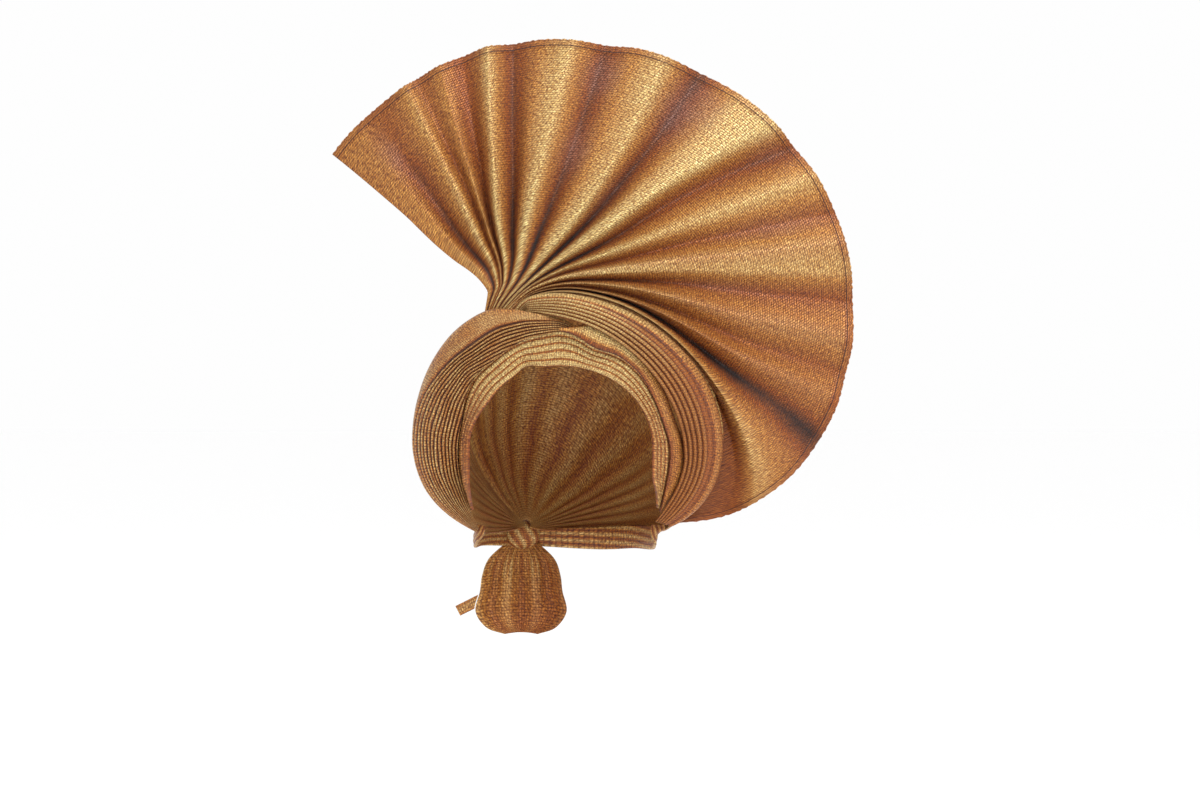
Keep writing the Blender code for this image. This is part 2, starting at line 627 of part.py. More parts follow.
def cloth_sheet(name, surface, across, along, material):
    """A closed cloth wall between the face and the back that surface(u, v) gives."""
    bm = bmesh.new()
    bmesh.ops.create_grid(bm, x_segments=across, y_segments=along, size=0.5)
    faces = list(bm.faces)
    grown = bmesh.ops.extrude_face_region(bm, geom=faces)
    raised = {item for item in grown["geom"] if isinstance(item, bmesh.types.BMVert)}
    for vert in bm.verts:
        face, back = surface(vert.co.x + 0.5, vert.co.y + 0.5)
        vert.co = face if vert in raised else back
    bmesh.ops.recalc_face_normals(bm, faces=bm.faces)
    if bm.calc_volume(signed=True) < 0:
        bmesh.ops.reverse_faces(bm, faces=bm.faces)
    mesh = bpy.data.meshes.new(name)
    bm.to_mesh(mesh)
    bm.free()
    mesh.shade_smooth()
    mesh.materials.append(material)
    return bpy.data.objects.new(name, mesh)


def knot(name, material):
    """The knot at the nape: a squashed ball with soft grooves round it."""
    bm = bmesh.new()
    bmesh.ops.create_uvsphere(bm, u_segments=14, v_segments=9, radius=1.0)
    centre = knot_centre()
    for vert in bm.verts:
        turn = math.atan2(vert.co.y, vert.co.x)
        groove = 1.0 - KNOT_GROOVE * (0.5 + 0.5 * math.cos(3.0 * turn + 2.0 * vert.co.z))
        vert.co = Vector((vert.co.x * KNOT_HALF_WIDTH * groove, vert.co.y * KNOT_HALF_DEPTH * groove,
                          vert.co.z * KNOT_HALF_HEIGHT)) + centre
    mesh = bpy.data.meshes.new(name)
    bm.to_mesh(mesh)
    bm.free()
    mesh.shade_smooth()
    mesh.materials.append(material)
    return bpy.data.objects.new(name, mesh)


def cloth_material(name, colour, roughness):
    """A plain satin cloth finish."""
    material = bpy.data.materials.new(name)
    material.use_nodes = True
    shader = material.node_tree.nodes["Principled BSDF"]
    shader.inputs["Base Color"].default_value = (*colour, 1.0)
    shader.inputs["Roughness"].default_value = roughness
    shader.inputs["Metallic"].default_value = 0.15
    return material


def build():
    """Build every piece of the head tie into its own collection."""
    for old in list(bpy.data.objects):
        bpy.data.objects.remove(old, do_unlink=True)
    collection = bpy.data.collections.new("gele_head_tie")
    bpy.context.scene.collection.children.link(collection)
    gold = (0.62, 0.33, 0.08)
    left_tie = ear_tie_surface(LEFT_TIE_STATIONS, -1.0, LAYER_GAP + 0.5 * EAR_TIE_THICKNESS)
    right_tie = ear_tie_surface(RIGHT_TIE_STATIONS, 1.0, LAYER_GAP)
    pieces = [
        cloth_sheet("fan", fan_surface, 60, 14, cloth_material("fan_cloth", gold, 0.45)),
        cloth_sheet("right_wrap", right_surface, 21, 20, cloth_material("right_wrap_cloth", gold, 0.45)),
        cloth_sheet("left_wrap", left_surface, 34, 18, cloth_material("left_wrap_cloth", gold, 0.45)),
        cloth_sheet("tuck_fold", tuck_surface, 4, 18, cloth_material("tuck_cloth", gold, 0.45)),
        cloth_sheet("forehead_band", band_surface, 10, 24, cloth_material("band_cloth", gold, 0.45)),
        cloth_sheet("back_wrap", back_surface, 20, 12, cloth_material("back_cloth", gold, 0.45)),
        cloth_sheet("tail_panel", tail_surface, 8, 8, cloth_material("tail_cloth", gold, 0.45)),
        cloth_sheet("left_ear_tie", left_tie, 4, 10, cloth_material("left_tie_cloth", gold, 0.45)),
        cloth_sheet("right_ear_tie", right_tie, 4, 12, cloth_material("right_tie_cloth", gold, 0.45)),
        cloth_sheet("tie_end", tie_end_surface, 4, 4, cloth_material("end_cloth", gold, 0.45)),
        knot("nape_knot", cloth_material("knot_cloth", gold, 0.45)),
    ]
    for piece in pieces:
        collection.objects.link(piece)


build()
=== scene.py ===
"""Looks of a tied gele head tie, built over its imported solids.

One long stiff cloth woven with gold thread is pleated, wound round the head, pinched over the left brow
into a wide fan, and knotted at the nape. Lengths are metres with +Z up, the face looks along -Y, and the
origin is the centre of the face opening. Every piece is a grid that its class bends into place.
"""
import logging
import math
from collections.abc import Callable
from dataclasses import dataclass, field
from enum import Enum

import bmesh
import bpy
import numpy as np
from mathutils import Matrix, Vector


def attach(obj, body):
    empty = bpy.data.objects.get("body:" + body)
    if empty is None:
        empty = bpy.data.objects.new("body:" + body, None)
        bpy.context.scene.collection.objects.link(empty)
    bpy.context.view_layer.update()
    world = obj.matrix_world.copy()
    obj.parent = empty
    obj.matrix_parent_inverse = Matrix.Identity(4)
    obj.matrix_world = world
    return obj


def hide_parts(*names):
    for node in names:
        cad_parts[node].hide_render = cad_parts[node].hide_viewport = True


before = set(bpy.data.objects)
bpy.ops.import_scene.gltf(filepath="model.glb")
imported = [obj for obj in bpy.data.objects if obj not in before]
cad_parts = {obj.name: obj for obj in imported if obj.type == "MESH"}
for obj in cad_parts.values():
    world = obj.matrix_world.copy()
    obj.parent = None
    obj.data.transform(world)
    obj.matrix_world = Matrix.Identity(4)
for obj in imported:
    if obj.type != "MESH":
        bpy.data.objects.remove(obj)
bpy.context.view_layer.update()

LOG = logging.getLogger("gele")
MM = 0.001
Grid = np.ndarray
# Direction that the face looks in
FRONT = np.array([0.0, -1.0, 0.0])
# Step, as a share of a piece's length or width, over which its directions are read
PROBE = 0.02
# Distance from a hem that cloth without one is given, well past the stitches
NO_HEM = 1.0
# Waves of uneven cloth: turns across and along, growth of the start with the seed, and strength
WAVES = ((1.7, 0.9, 1.0, 1.0), (3.1, -1.6, 1.7, 0.6), (0.6, 3.7, 2.3, 0.7))


class Held(Enum):
    """How a sheet of cloth is held."""

    GATHERED = "gathered"
    STRETCHED = "stretched"
    FOLDED = "folded"
    HUNG = "hung"


@dataclass(frozen=True)
class Ramp:
    """A smooth rise from 0 at one value to 1 at another, which may lie below it."""

    start: float
    end: float

    def __call__(self, value: Grid) -> Grid:
        """Shares between 0 and 1 at the given values."""
        share = np.clip((np.asarray(value, dtype=float) - self.start) / (self.end - self.start), 0.0, 1.0)
        return share * share * (3.0 - 2.0 * share)


@dataclass(frozen=True)
class Window:
    """A smooth rise with a smooth fall after it."""

    rise: Ramp
    fall: Ramp

    def __call__(self, value: Grid) -> Grid:
        """Shares between 0 and 1 at the given values."""
        return self.rise(value) * self.fall(value)


def read_smooth(knots: Grid, values: Grid, at: Grid) -> Grid:
    """Read smooth curves through values that stand at rising knots.

    Args:
        knots: The K rising places.
        values: One curve of K values, or several in rows.
        at: Places to read.

    Returns:
        The values there, with one row for each curve.
    """
    knots = np.asarray(knots, dtype=float)
    values = np.asarray(values, dtype=float)
    at = np.clip(at, knots[0], knots[-1])
    i = np.clip(np.searchsorted(knots, at, side="left") - 1, 0, len(knots) - 2)
    slopes = np.diff(values, axis=-1) / np.diff(knots)
    middle = 0.5 * (slopes[..., 1:] + slopes[..., :-1])
    tangents = np.concatenate([slopes[..., :1], middle, slopes[..., -1:]], axis=-1)
    span = knots[i + 1] - knots[i]
    s = (at - knots[i]) / span
    start = values[..., i] * (1 + 2 * s) * (1 - s) ** 2 + tangents[..., i] * span * s * (1 - s) ** 2
    end = values[..., i + 1] * s * s * (3 - 2 * s) + tangents[..., i + 1] * span * s * s * (s - 1)
    return start + end


def spread(rows: Grid, column: int, share: Grid) -> Grid:
    """Read a column of a table whose rows are spread evenly over shares from 0 to 1."""
    last = len(rows) - 1
    return read_smooth(np.arange(last + 1), rows[:, column], np.asarray(share) * last)


def unit(vectors: Grid) -> Grid:
    """Scale vectors, held in the last axis, to length 1."""
    return vectors / np.maximum(np.linalg.norm(vectors, axis=-1, keepdims=True), 1e-12)


def points(*parts: Grid | float) -> Grid:
    """Join coordinates into points in the last axis."""
    return np.stack(np.broadcast_arrays(*parts), axis=-1)


def cos_sin(turn: Grid) -> tuple[Grid, Grid]:
    """Cosine and sine of turns in degrees."""
    return np.cos(np.radians(turn)), np.sin(np.radians(turn))


def square_to(first: Grid, second: Grid, outward: Grid) -> Grid:
    """Unit directions square to two others.

    Args:
        first: One direction at each place.
        second: The other.
        outward: Direction of the side that the answer lies on.

    Returns:
        The directions.
    """
    normal = unit(np.cross(first, second))
    inward = np.sum(normal * outward, axis=-1, keepdims=True) < 0
    return np.where(inward, -normal, normal)


def ripple(u: Grid, v: Grid, seed: float) -> Grid:
    """A soft uneven wave over a piece.

    Args:
        u: Shares across the piece.
        v: Shares along it.
        seed: Picks one of many waves.

    Returns:
        Values between -1 and 1.
    """
    waves = [strength * np.sin(2.0 * math.pi * (across * u + along * v + start * seed))
             for across, along, start, strength in WAVES]
    return sum(waves) / sum(strength for *_, strength in WAVES)


def rounded_pleats(share: Grid, count: float) -> Grid:
    """Rounded pleats: 0 in each valley and 1 on each crest."""
    return np.abs(np.sin(math.pi * count * share))


def groove_tone(pleat: Grid, lit: Ramp, depth: Grid | float = 1.0) -> Grid:
    """Tone of a pleat: dark low in its groove, and full on its crest.

    Args:
        pleat: 0 in each groove and 1 on each crest.
        lit: Rise of the light from the groove to the crest.
        depth: How much of the light the groove loses.

    Returns:
        Shares of the crest's tone.
    """
    return 1.0 - depth * (1.0 - lit(pleat))


@dataclass
class Shell:
    """Both sides of a cloth piece, over a grid of places.

    Attributes:
        face: Points of the outer side.
        back: Points of the inner side.
        cloth: Places on the cut cloth, in metres across and along.
        pleat: Painted shade and highlight, from 0 dark in a groove to 1 lit on a crest.
        tint: Share of the painted orange glow, or of the painted violet sheen where it is negative.
        edge: Distance from the cloth's hemmed edge, in metres.
    """

    face: Grid
    back: Grid
    cloth: Grid
    pleat: Grid
    tint: Grid | float
    edge: Grid | float = NO_HEM


@dataclass(frozen=True)
class Cloth:
    """The cloth itself, and the gap between its layers."""

    thickness: float = 1.2 * MM
    gap: float = 0.4 * MM


@dataclass(frozen=True)
class HeadForm:
    """The empty form that the cloth is wound on."""

    half_width: float = 72 * MM
    half_depth: float = 93 * MM
    half_height: float = 85 * MM
    centre_drop: float = 10 * MM
    ease: float = 1.5 * MM
    flattest: float = 0.04

    @property
    def sizes(self) -> Grid:
        """Half sizes in X, Y and Z."""
        return np.array([self.half_width, self.half_depth, self.half_height])

    @property
    def centre(self) -> Grid:
        """Centre of the form."""
        return np.array([0.0, 0.0, -self.centre_drop])

    def front(self, x: Grid, z: Grid) -> Grid:
        """Depth of the form's front.

        Args:
            x: Places in the front view, across.
            z: Their heights.

        Returns:
            The depths there.
        """
        across = x / (self.half_width + self.ease)
        up = (z + self.centre_drop) / (self.half_height + self.ease)
        left = np.maximum(1.0 - across * across - up * up, self.flattest)
        return -(self.half_depth + self.ease) * np.sqrt(left)

    def share(self, place: Grid) -> Grid:
        """Points as shares of the form's half sizes, from its centre."""
        return (place - self.centre) / self.sizes

    def point(self, share: Grid) -> Grid:
        """Points at the given shares of the form's half sizes."""
        return share * self.sizes + self.centre


@dataclass(frozen=True)
class Opening:
    """The face opening: half an ellipse over the brow, with straight sides below."""

    half_width: float = 64 * MM
    height: float = 56 * MM
    steepest: float = 0.5

    def reach(self, turn: Grid) -> Grid:
        """Reach of the opening's edge.

        Args:
            turn: Turns about the origin in degrees.

        Returns:
            The distance of the edge from the origin at each.
        """
        c, s = cos_sin(turn)
        above = self.half_width * self.height / np.hypot(self.height * c, self.half_width * s)
        return np.where(s > 0, above, self.half_width / np.maximum(np.abs(c), self.steepest))


@dataclass
class ForeheadBand:
    """The band over the brow, and the form that the wraps' inner edges lie on.

    Each station holds a turn about the origin, the reach where the wraps leave the band as a share of the
    head's half width, the depth there as a share of its half depth, and the tucked strip's width there.
    """

    head: HeadForm
    opening: Opening
    cloth: Cloth
    pleat: float = 0.9 * MM
    pleat_count: int = 5
    wander: float = 0.035
    underlap: float = 3 * MM
    least_width: float = 4 * MM
    lean: float = 0.25
    steepest: float = 0.9
    last_turn: float = 216.0
    first_turn: float = -33.0
    corner: float = 3.6 * MM
    corner_turn: float = 113.0
    corner_spread: float = 8.0
    taut_share: float = 0.7
    taut_turn: float = 150.0
    taut_spread: float = 15.0
    gather_in: float = 0.5
    gather_narrow: float = 0.6
    edge_roll: float = 0.8
    cut_stretch: float = 1.6
    cut_length: float = 300 * MM
    left_gather: Ramp = Ramp(0.05, 0.0)
    right_gather: Ramp = Ramp(0.94, 1.0)
    rolled_edge: Ramp = Ramp(0.0, 0.06)
    # Painted light and shade: the rise of light over each pleat, the share its groove loses, the lighter
    # brow, and the shade under the wraps
    lit: Ramp = Ramp(0.12, 0.72)
    groove_shade: float = 0.72
    brow: Window = Window(Ramp(0.22, 0.40), Ramp(0.80, 0.62))
    shade_under_wraps: Ramp = Ramp(0.8, 1.0)
    orange_left: Ramp = Ramp(0.34, 0.14)
    orange_right: Window = Window(Ramp(0.62, 0.86), Ramp(1.0, 0.9))
    stations: Grid = field(default_factory=lambda: np.array([
        (226, 1.13, -0.17, 0.0), (211, 1.05, -0.26, 0.0), (196, 1.01, -0.31, 0.0),
        (180, 0.986, -0.355, 0.0), (165, 0.98, -0.39, 0.0), (152, 1.025, -0.43, 0.0),
        (141, 1.06, -0.47, 0.0), (130, 1.05, -0.54, 0.0), (119, 1.065, -0.59, 0.0),
        (108, 1.085, -0.625, 0.0), (98, 1.09, -0.65, 0.0), (89, 1.10, -0.67, 0.45),
        (81, 1.065, -0.68, 0.75), (72, 1.005, -0.68, 1.0), (58, 1.03, -0.625, 0.7),
        (43, 1.03, -0.545, 0.5), (28, 1.005, -0.47, 0.5), (13, 1.0, -0.405, 0.5),
        (-1, 1.035, -0.33, 0.6), (-14, 1.05, -0.28, 0.72), (-26, 1.08, -0.235, 0.55),
        (-36, 1.14, -0.19, 0.3)]))

    def read(self, column: int, turn: Grid) -> Grid:
        """Read a column of the stations at turns in degrees."""
        return read_smooth(-self.stations[:, 0], self.stations[:, column], -np.asarray(turn, dtype=float))

    def wrap_reach(self, turn: Grid) -> Grid:
        """Reach where the wraps leave the band."""
        return self.read(1, turn) * self.head.half_width

    def edge(self, turn: Grid) -> Grid:
        """Reach of the band's edge at the face opening, with a slack corner over the left brow.

        Args:
            turn: Turns about the origin in degrees.

        Returns:
            The distance of the edge from the origin at each.
        """
        corner = self.corner * np.exp(-(((turn - self.corner_turn) / self.corner_spread) ** 2))
        taut = np.exp(-(((turn - self.taut_turn) / self.taut_spread) ** 2))
        reach = self.opening.reach(turn) + corner - self.taut_share * self.corner * taut
        return np.minimum(reach, self.wrap_reach(turn) - self.least_width)

    def point(self, turn: Grid, reach: Grid) -> Grid:
        """Points on the form.

        Args:
            turn: Turns about the origin in degrees.
            reach: Distances from the origin in the front view.

        Returns:
            The points.
        """
        c, s = cos_sin(turn)
        wrap = self.wrap_reach(turn)
        edge = self.edge(turn)
        edge_depth = self.head.front(edge * c, edge * s)
        wrap_depth = self.read(2, turn) * self.head.half_depth
        slope = (wrap_depth - edge_depth) / (wrap - edge)
        slope = np.where(reach > wrap, np.clip(slope, self.lean, self.steepest), slope)
        return points(reach * c, wrap_depth + slope * (reach - wrap), reach * s)

    def normal(self, turn: Grid, reach: Grid) -> Grid:
        """Directions away from the head.

        Args:
            turn: Turns about the origin in degrees.
            reach: Distances from the origin in the front view.

        Returns:
            The directions.
        """
        out = self.point(turn, reach + MM) - self.point(turn, reach - MM)
        along = self.point(turn + 1.0, reach) - self.point(turn - 1.0, reach)
        return square_to(out, along, FRONT)

    def shell(self, u: Grid, v: Grid) -> Shell:
        """The band's two sides.

        Args:
            u: Shares out from the opening.
            v: Shares from the left ear to the right.

        Returns:
            Both sides.
        """
        turn = self.last_turn + (self.first_turn - self.last_turn) * v
        edge = self.edge(turn)
        width = self.wrap_reach(turn) + self.underlap - edge
        gather = np.maximum(self.right_gather(v), self.left_gather(v))
        edge = edge + self.gather_in * width * gather
        width = width * (1.0 - self.gather_narrow * gather)
        reach = edge + width * u
        base = self.point(turn, reach)
        wander = u + self.wander * ripple(0.6 * u, 2.0 * v, 0.3) * np.sin(math.pi * u)
        pleat = rounded_pleats(wander, self.pleat_count)
        roll = self.rolled_edge(u) - 1.0
        lift = self.cloth.thickness + self.pleat * (pleat + self.edge_roll * roll)
        face = base + self.normal(turn, reach) * lift[..., None]
        cloth = points(width * u * self.cut_stretch, v * self.cut_length)
        # Painted light and shade: dark grooves, lighter over the brow, darker at the outer edge under the
        # wraps
        bright = 0.84 + 0.20 * self.brow(v)
        tone = groove_tone(pleat, self.lit, self.groove_shade) * bright * (1.0 - 0.2 * self.shade_under_wraps(u))
        tint = 0.18 + 0.5 * self.orange_right(v) + 0.9 * self.orange_left(v)
        return Shell(face, base, cloth, tone, tint * (1.0 - 0.5 * u))


@dataclass
class Layers:
    """Heights of the layers of cloth over the form, each measured to its inner side."""

    cloth: Cloth
    band_pleat: float
    left_pleat: float = 1.6 * MM
    tuck_crown: float = 1.2 * MM
    over_left: Ramp = Ramp(52.0, 70.0)

    @property
    def left(self) -> float:
        """The left wrap's inner edge, over the band."""
        return self.cloth.thickness + self.band_pleat + self.cloth.gap

    def tuck(self, turn: Grid) -> Grid:
        """The tucked strip: over the left wrap at the brow, over the band further down."""
        over_wrap = self.cloth.thickness + self.left_pleat + self.cloth.gap
        return self.left + over_wrap * self.over_left(turn)

    def right(self, turn: Grid) -> Grid:
        """The right wrap's inner edge, over the tucked strip."""
        return self.tuck(turn) + self.cloth.thickness + self.tuck_crown + 2 * self.cloth.gap


@dataclass
class LeftWrap:
    """The pleated wrap from the brow round the left ear, with a smooth outer fold that curls back.

    Each station holds a turn about the origin, the outline's reach as a share of the longest, its depth
    as a share of the head's half depth, the smooth fold's share of the width, and the share of back curl.
    """

    band: ForeheadBand
    layers: Layers
    reach: float = 109 * MM
    pleat_count: int = 13
    brow_pleats: float = 5.5
    hidden_part: float = 0.5
    smooth_steps: int = 4
    curl_steps: int = 4
    curl_back: float = 30 * MM
    curl_in: float = 14 * MM
    wander: float = 0.022
    kink: float = 0.006
    cut_width: float = 60 * MM
    cut_length: float = 260 * MM
    on_band: Ramp = Ramp(115.0, 95.0)
    pleats_grow: Ramp = Ramp(0.10, 0.66)
    lit: Ramp = Ramp(0.30, 1.0)
    outer_fold: Ramp = Ramp(0.76, 0.80)
    stations: Grid = field(default_factory=lambda: np.array([
        (78, 0.735, -0.66, 0.10, 0.25), (89, 0.805, -0.64, 0.14, 0.40), (100, 0.850, -0.61, 0.26, 0.45),
        (110, 0.918, -0.60, 0.38, 0.42), (118, 0.975, -0.56, 0.43, 0.38), (126, 0.993, -0.49, 0.44, 0.40),
        (134, 1.0, -0.39, 0.42, 0.49), (142, 0.998, -0.27, 0.35, 0.70), (151, 0.993, -0.16, 0.24, 0.87),
        (161, 0.985, -0.06, 0.11, 1.0), (172, 0.979, 0.0, 0.05, 1.0), (183, 0.972, 0.03, 0.04, 1.0),
        (194, 0.948, 0.02, 0.04, 0.85), (203, 0.912, -0.03, 0.04, 0.65), (212, 0.865, -0.08, 0.04, 0.40),
        (219, 0.827, -0.12, 0.04, 0.20), (225, 0.798, -0.16, 0.04, 0.05)]))

    def base(self, v: Grid, place: Grid) -> Grid:
        """Points of the inner side.

        Args:
            v: Share of the way from the brow to the ear.
            place: 0 at the band, 1 at the outline and 2 at the back edge.

        Returns:
            The points.
        """
        turn = spread(self.stations, 0, v)
        c, s = cos_sin(turn)
        inner_reach = self.band.wrap_reach(turn)
        inner = self.band.point(turn, inner_reach) + self.band.normal(turn, inner_reach) * self.layers.left
        inner_out = inner[..., 0] * c + inner[..., 2] * s
        outer_out = spread(self.stations, 1, v) * self.reach - self.layers.cloth.thickness
        outer_depth = spread(self.stations, 2, v) * self.band.head.half_depth
        over_band = self.band.point(turn, outer_out)[..., 1] - self.layers.left
        outer_depth = outer_depth + (np.minimum(over_band, outer_depth) - outer_depth) * self.on_band(turn)
        curl = spread(self.stations, 4, v)
        ahead = np.clip(place, 0.0, 1.0)
        behind = np.clip(place - 1.0, 0.0, 1.0)
        reach = inner_out + (outer_out - inner_out) * ahead - self.curl_in * curl * behind * behind
        depth = outer_depth + (inner[..., 1] - outer_depth) * np.sqrt(np.maximum(1.0 - ahead ** 2, 0.0))
        depth = depth + (self.curl_back * curl + self.layers.cloth.thickness) * behind
        return points(reach * c, depth, reach * s)

    def count(self, v: Grid) -> Grid:
        """Number of pleats that show, since the inner ones run under the band at the brow."""
        shown = self.pleat_count - self.hidden_part
        return self.brow_pleats + (shown - self.brow_pleats) * self.pleats_grow(v)

    def section(self, u: Grid, v: Grid) -> tuple[Grid, Grid]:
        """The wrap's section: tight pleats, the smooth outer fold and the curl behind it.

        Args:
            u: Shares of the grid's width.
            v: Share of the way from the brow to the ear.

        Returns:
            Place along the section, and the pleat's height there.
        """
        smooth = spread(self.stations, 3, v)
        pleated = self.pleat_count * 2
        step = u * (pleated + self.smooth_steps + self.curl_steps)
        part = np.clip(step / pleated, 0.0, 1.0)
        wander = part + self.wander * ripple(part, 2.6 * v, 0.15) * np.sin(math.pi * part)
        kinks = np.sin(41.0 * v + 3.0 * part) * np.sin(17.0 * v + 29.0 * part)
        wander = wander + self.kink * kinks * np.sin(math.pi * part)
        flat = np.clip((step - pleated) / self.smooth_steps, 0.0, 1.0)
        curl = np.clip((step - pleated - self.smooth_steps) / self.curl_steps, 0.0, 1.0)
        place = (1.0 - smooth) * part + smooth * flat + curl
        fold = np.sin(math.pi * np.minimum(flat * 1.6, 0.5))
        return place, np.where(step <= pleated, rounded_pleats(1.0 - wander, self.count(v)), fold)

    def shell(self, u: Grid, v: Grid) -> Shell:
        """The wrap's two sides.

        Args:
            u: Shares out from the band and round to the back edge.
            v: Shares from the brow to the ear.

        Returns:
            Both sides.
        """
        place, pleat = self.section(u, v)
        base = self.base(v, place)
        across = self.base(v, np.minimum(place + PROBE, 2.0)) - self.base(v, np.maximum(place - PROBE, 0.0))
        along = self.base(np.minimum(v + PROBE, 1.0), place) - self.base(np.maximum(v - PROBE, 0.0), place)
        c, s = cos_sin(spread(self.stations, 0, v))
        normal = square_to(across, along, points(c, -1.0, s))
        width = np.linalg.norm(self.base(v, np.ones_like(v)) - self.base(v, np.zeros_like(v)), axis=-1)
        height = np.minimum(self.layers.left_pleat, 0.5 * width / self.count(v)) * pleat
        face = base + normal * (self.layers.cloth.thickness + height)[..., None]
        smooth = self.outer_fold(u)
        # Painted shade in the grooves and light on the crests, a little darker over the smooth outer fold,
        # with uneven tone at random
        uneven = 0.92 + 0.22 * ripple(2.5 * u, 2.2 * v, 0.35)
        tone = (0.88 - 0.06 * smooth) * groove_tone(pleat, self.lit) * uneven
        cloth = points(place * self.cut_width, v * self.cut_length)
        return Shell(face, base, cloth, tone, 0.26 + 0.24 * smooth)


@dataclass
class Fan:
    """The wide fan that rises from the pinch.

    Each fold holds its lift, +1 on a crest and -1 in a valley; the share of it left at the rim; four
    turns about the pinch, in degrees, at 10, 30, 60 and 100 % of its length; its reach as a share of the
    longest; how far it bows outwards; and its cast, a painted orange glow above 0, while the violet below
    0 is not drawn. Each glossy patch, a painted violet reflection, holds its place among the folds, its
    share of their length, its spread in both, and its strength.
    """

    cloth: Cloth
    pinch_x: float = -42.8 * MM
    pinch_z: float = 94.9 * MM
    pinch_depth: float = -42.5 * MM
    pinch_width: float = 18 * MM
    pinch_thickness: float = 3 * MM
    reach: float = 254 * MM
    lean: float = 54 * MM
    lean_power: float = 1.6
    pleat: float = 7 * MM
    wave: float = 0.9 * MM
    stem_in: float = 2.5 * MM
    stem_drop: float = 4.25 * MM
    root_share: float = 0.1
    shares: tuple[float, ...] = (0.0, 0.1, 0.3, 0.6, 1.0)
    root_step: float = 6.0
    crease: float = 0.5
    hem_width: float = 6.5 * MM
    hem_bevel: float = 1.2 * MM
    hem_height: float = 0.7 * MM
    nibble: float = 0.45 * MM
    rim_detail: float = 1.3
    risen: Ramp = Ramp(0.0, 0.45)
    fading: Ramp = Ramp(0.5, 1.0)
    opened: Ramp = Ramp(0.2, 0.6)
    at_rim: Ramp = Ramp(0.97, 1.0)
    thinned: Ramp = Ramp(0.0, 0.25)
    off_pinch: Ramp = Ramp(0.10, 0.62)
    left_folds: Ramp = Ramp(9.0, 3.0)
    top_folds: Ramp = Ramp(17.0, 12.0)
    right_folds: Window = Window(Ramp(12.0, 16.0), Ramp(24.0, 20.0))
    low_folds: Ramp = Ramp(24.5, 27.5)
    gloss: tuple[tuple[float, float, float, float, float], ...] = (
        (1.6, 0.80, 0.7, 0.10, 0.6), (11.3, 0.60, 0.8, 0.09, 0.8), (11.2, 0.88, 0.7, 0.07, 0.8),
        (13.8, 0.50, 0.6, 0.10, 0.5), (14.3, 0.86, 0.9, 0.10, 1.0), (16.6, 0.93, 0.5, 0.05, 0.4),
        (19.2, 0.80, 0.5, 0.12, 0.5), (22.0, 0.62, 0.5, 0.12, 0.4), (24.0, 0.45, 0.5, 0.10, 0.35))
    folds: Grid = field(default_factory=lambda: np.array([
        (0.20, 1.0, 122.0, 132.5, 135.0, 137.0, 0.650, 0.0, 0.2),
        (0.35, 0.6, 113.0, 124.0, 127.5, 128.5, 0.663, 0.0, -0.5),
        (-0.80, 0.3, 104.0, 116.5, 120.7, 121.5, 0.675, 0.0, 0.2),
        (0.80, 0.8, 96.5, 106.5, 111.0, 113.5, 0.692, 0.0, 0.0),
        (-0.50, 0.4, 91.5, 101.0, 106.8, 109.5, 0.702, 0.0, 0.3),
        (0.45, 0.8, 88.5, 98.0, 102.7, 104.8, 0.716, 0.0, 0.1),
        (-0.80, 0.8, 86.0, 95.0, 98.2, 98.6, 0.733, 0.0, 0.9),
        (1.00, 1.0, 82.0, 91.0, 93.0, 93.2, 0.749, 0.0, 0.0),
        (-1.00, 1.0, 75.0, 82.0, 86.0, 87.7, 0.762, 0.0, 0.3),
        (0.30, 1.0, 71.0, 77.5, 81.0, 82.0, 0.778, 0.0, 0.2),
        (1.00, 1.0, 67.5, 73.0, 74.8, 75.6, 0.794, 0.0, 0.0),
        (-0.90, 1.0, 60.5, 64.0, 66.7, 68.7, 0.815, 0.0, -0.5),
        (0.30, 1.0, 56.5, 57.5, 60.0, 63.0, 0.840, 0.0, 0.1),
        (1.00, 1.0, 53.0, 51.0, 53.0, 57.4, 0.859, 0.0, 0.0),
        (-1.10, 1.0, 49.5, 46.0, 47.5, 50.5, 0.886, 0.0, -0.9),
        (0.60, 1.0, 47.0, 42.5, 42.0, 42.0, 0.918, 0.0, 0.1),
        (1.00, 1.0, 44.8, 38.8, 37.5, 34.5, 0.944, 0.0, 0.0),
        (-1.10, 1.0, 42.5, 34.5, 33.0, 29.8, 0.958, 0.0, -0.2),
        (0.70, 1.0, 40.2, 30.0, 25.5, 23.5, 0.976, 0.0, -0.2),
        (-0.80, 1.0, 38.0, 25.8, 20.0, 17.0, 0.992, 0.0, -0.5),
        (0.70, 1.0, 36.4, 22.8, 15.2, 11.5, 0.997, 0.0, 0.6),
        (0.55, 1.0, 34.8, 20.2, 11.2, 6.8, 1.0, 0.0, 0.1),
        (-0.90, 1.0, 32.8, 17.3, 6.8, 2.0, 1.0, 0.0, 0.0),
        (0.80, 1.0, 31.2, 14.2, 0.8, -5.0, 0.999, 0.0, 0.8),
        (-0.70, 1.0, 29.8, 12.0, -4.0, -10.0, 0.993, 0.0, 0.1),
        (0.70, 1.0, 28.4, 9.8, -7.5, -15.5, 0.986, 0.0, 0.9),
        (-1.10, 1.0, 27.3, 9.5, -10.9, -22.0, 0.972, 0.0, 0.0),
        (0.40, 1.0, 26.2, 7.5, -15.2, -29.5, 0.940, 0.30, 0.3),
        (1.00, 1.0, 25.2, 6.2, -17.0, -37.0, 0.893, 0.55, 0.1),
        (-0.60, 1.0, 24.2, 4.9, -18.5, -43.0, 0.848, 0.80, 0.9),
        (-0.90, 1.0, 22.5, 3.1, -20.6, -51.4, 0.760, 1.50, 0.7)]))

    def depth(self, reach: Grid) -> Grid:
        """Depth of the sheet, which leans back as it leaves the pinch."""
        return self.pinch_depth + self.lean * (reach / self.reach) ** self.lean_power

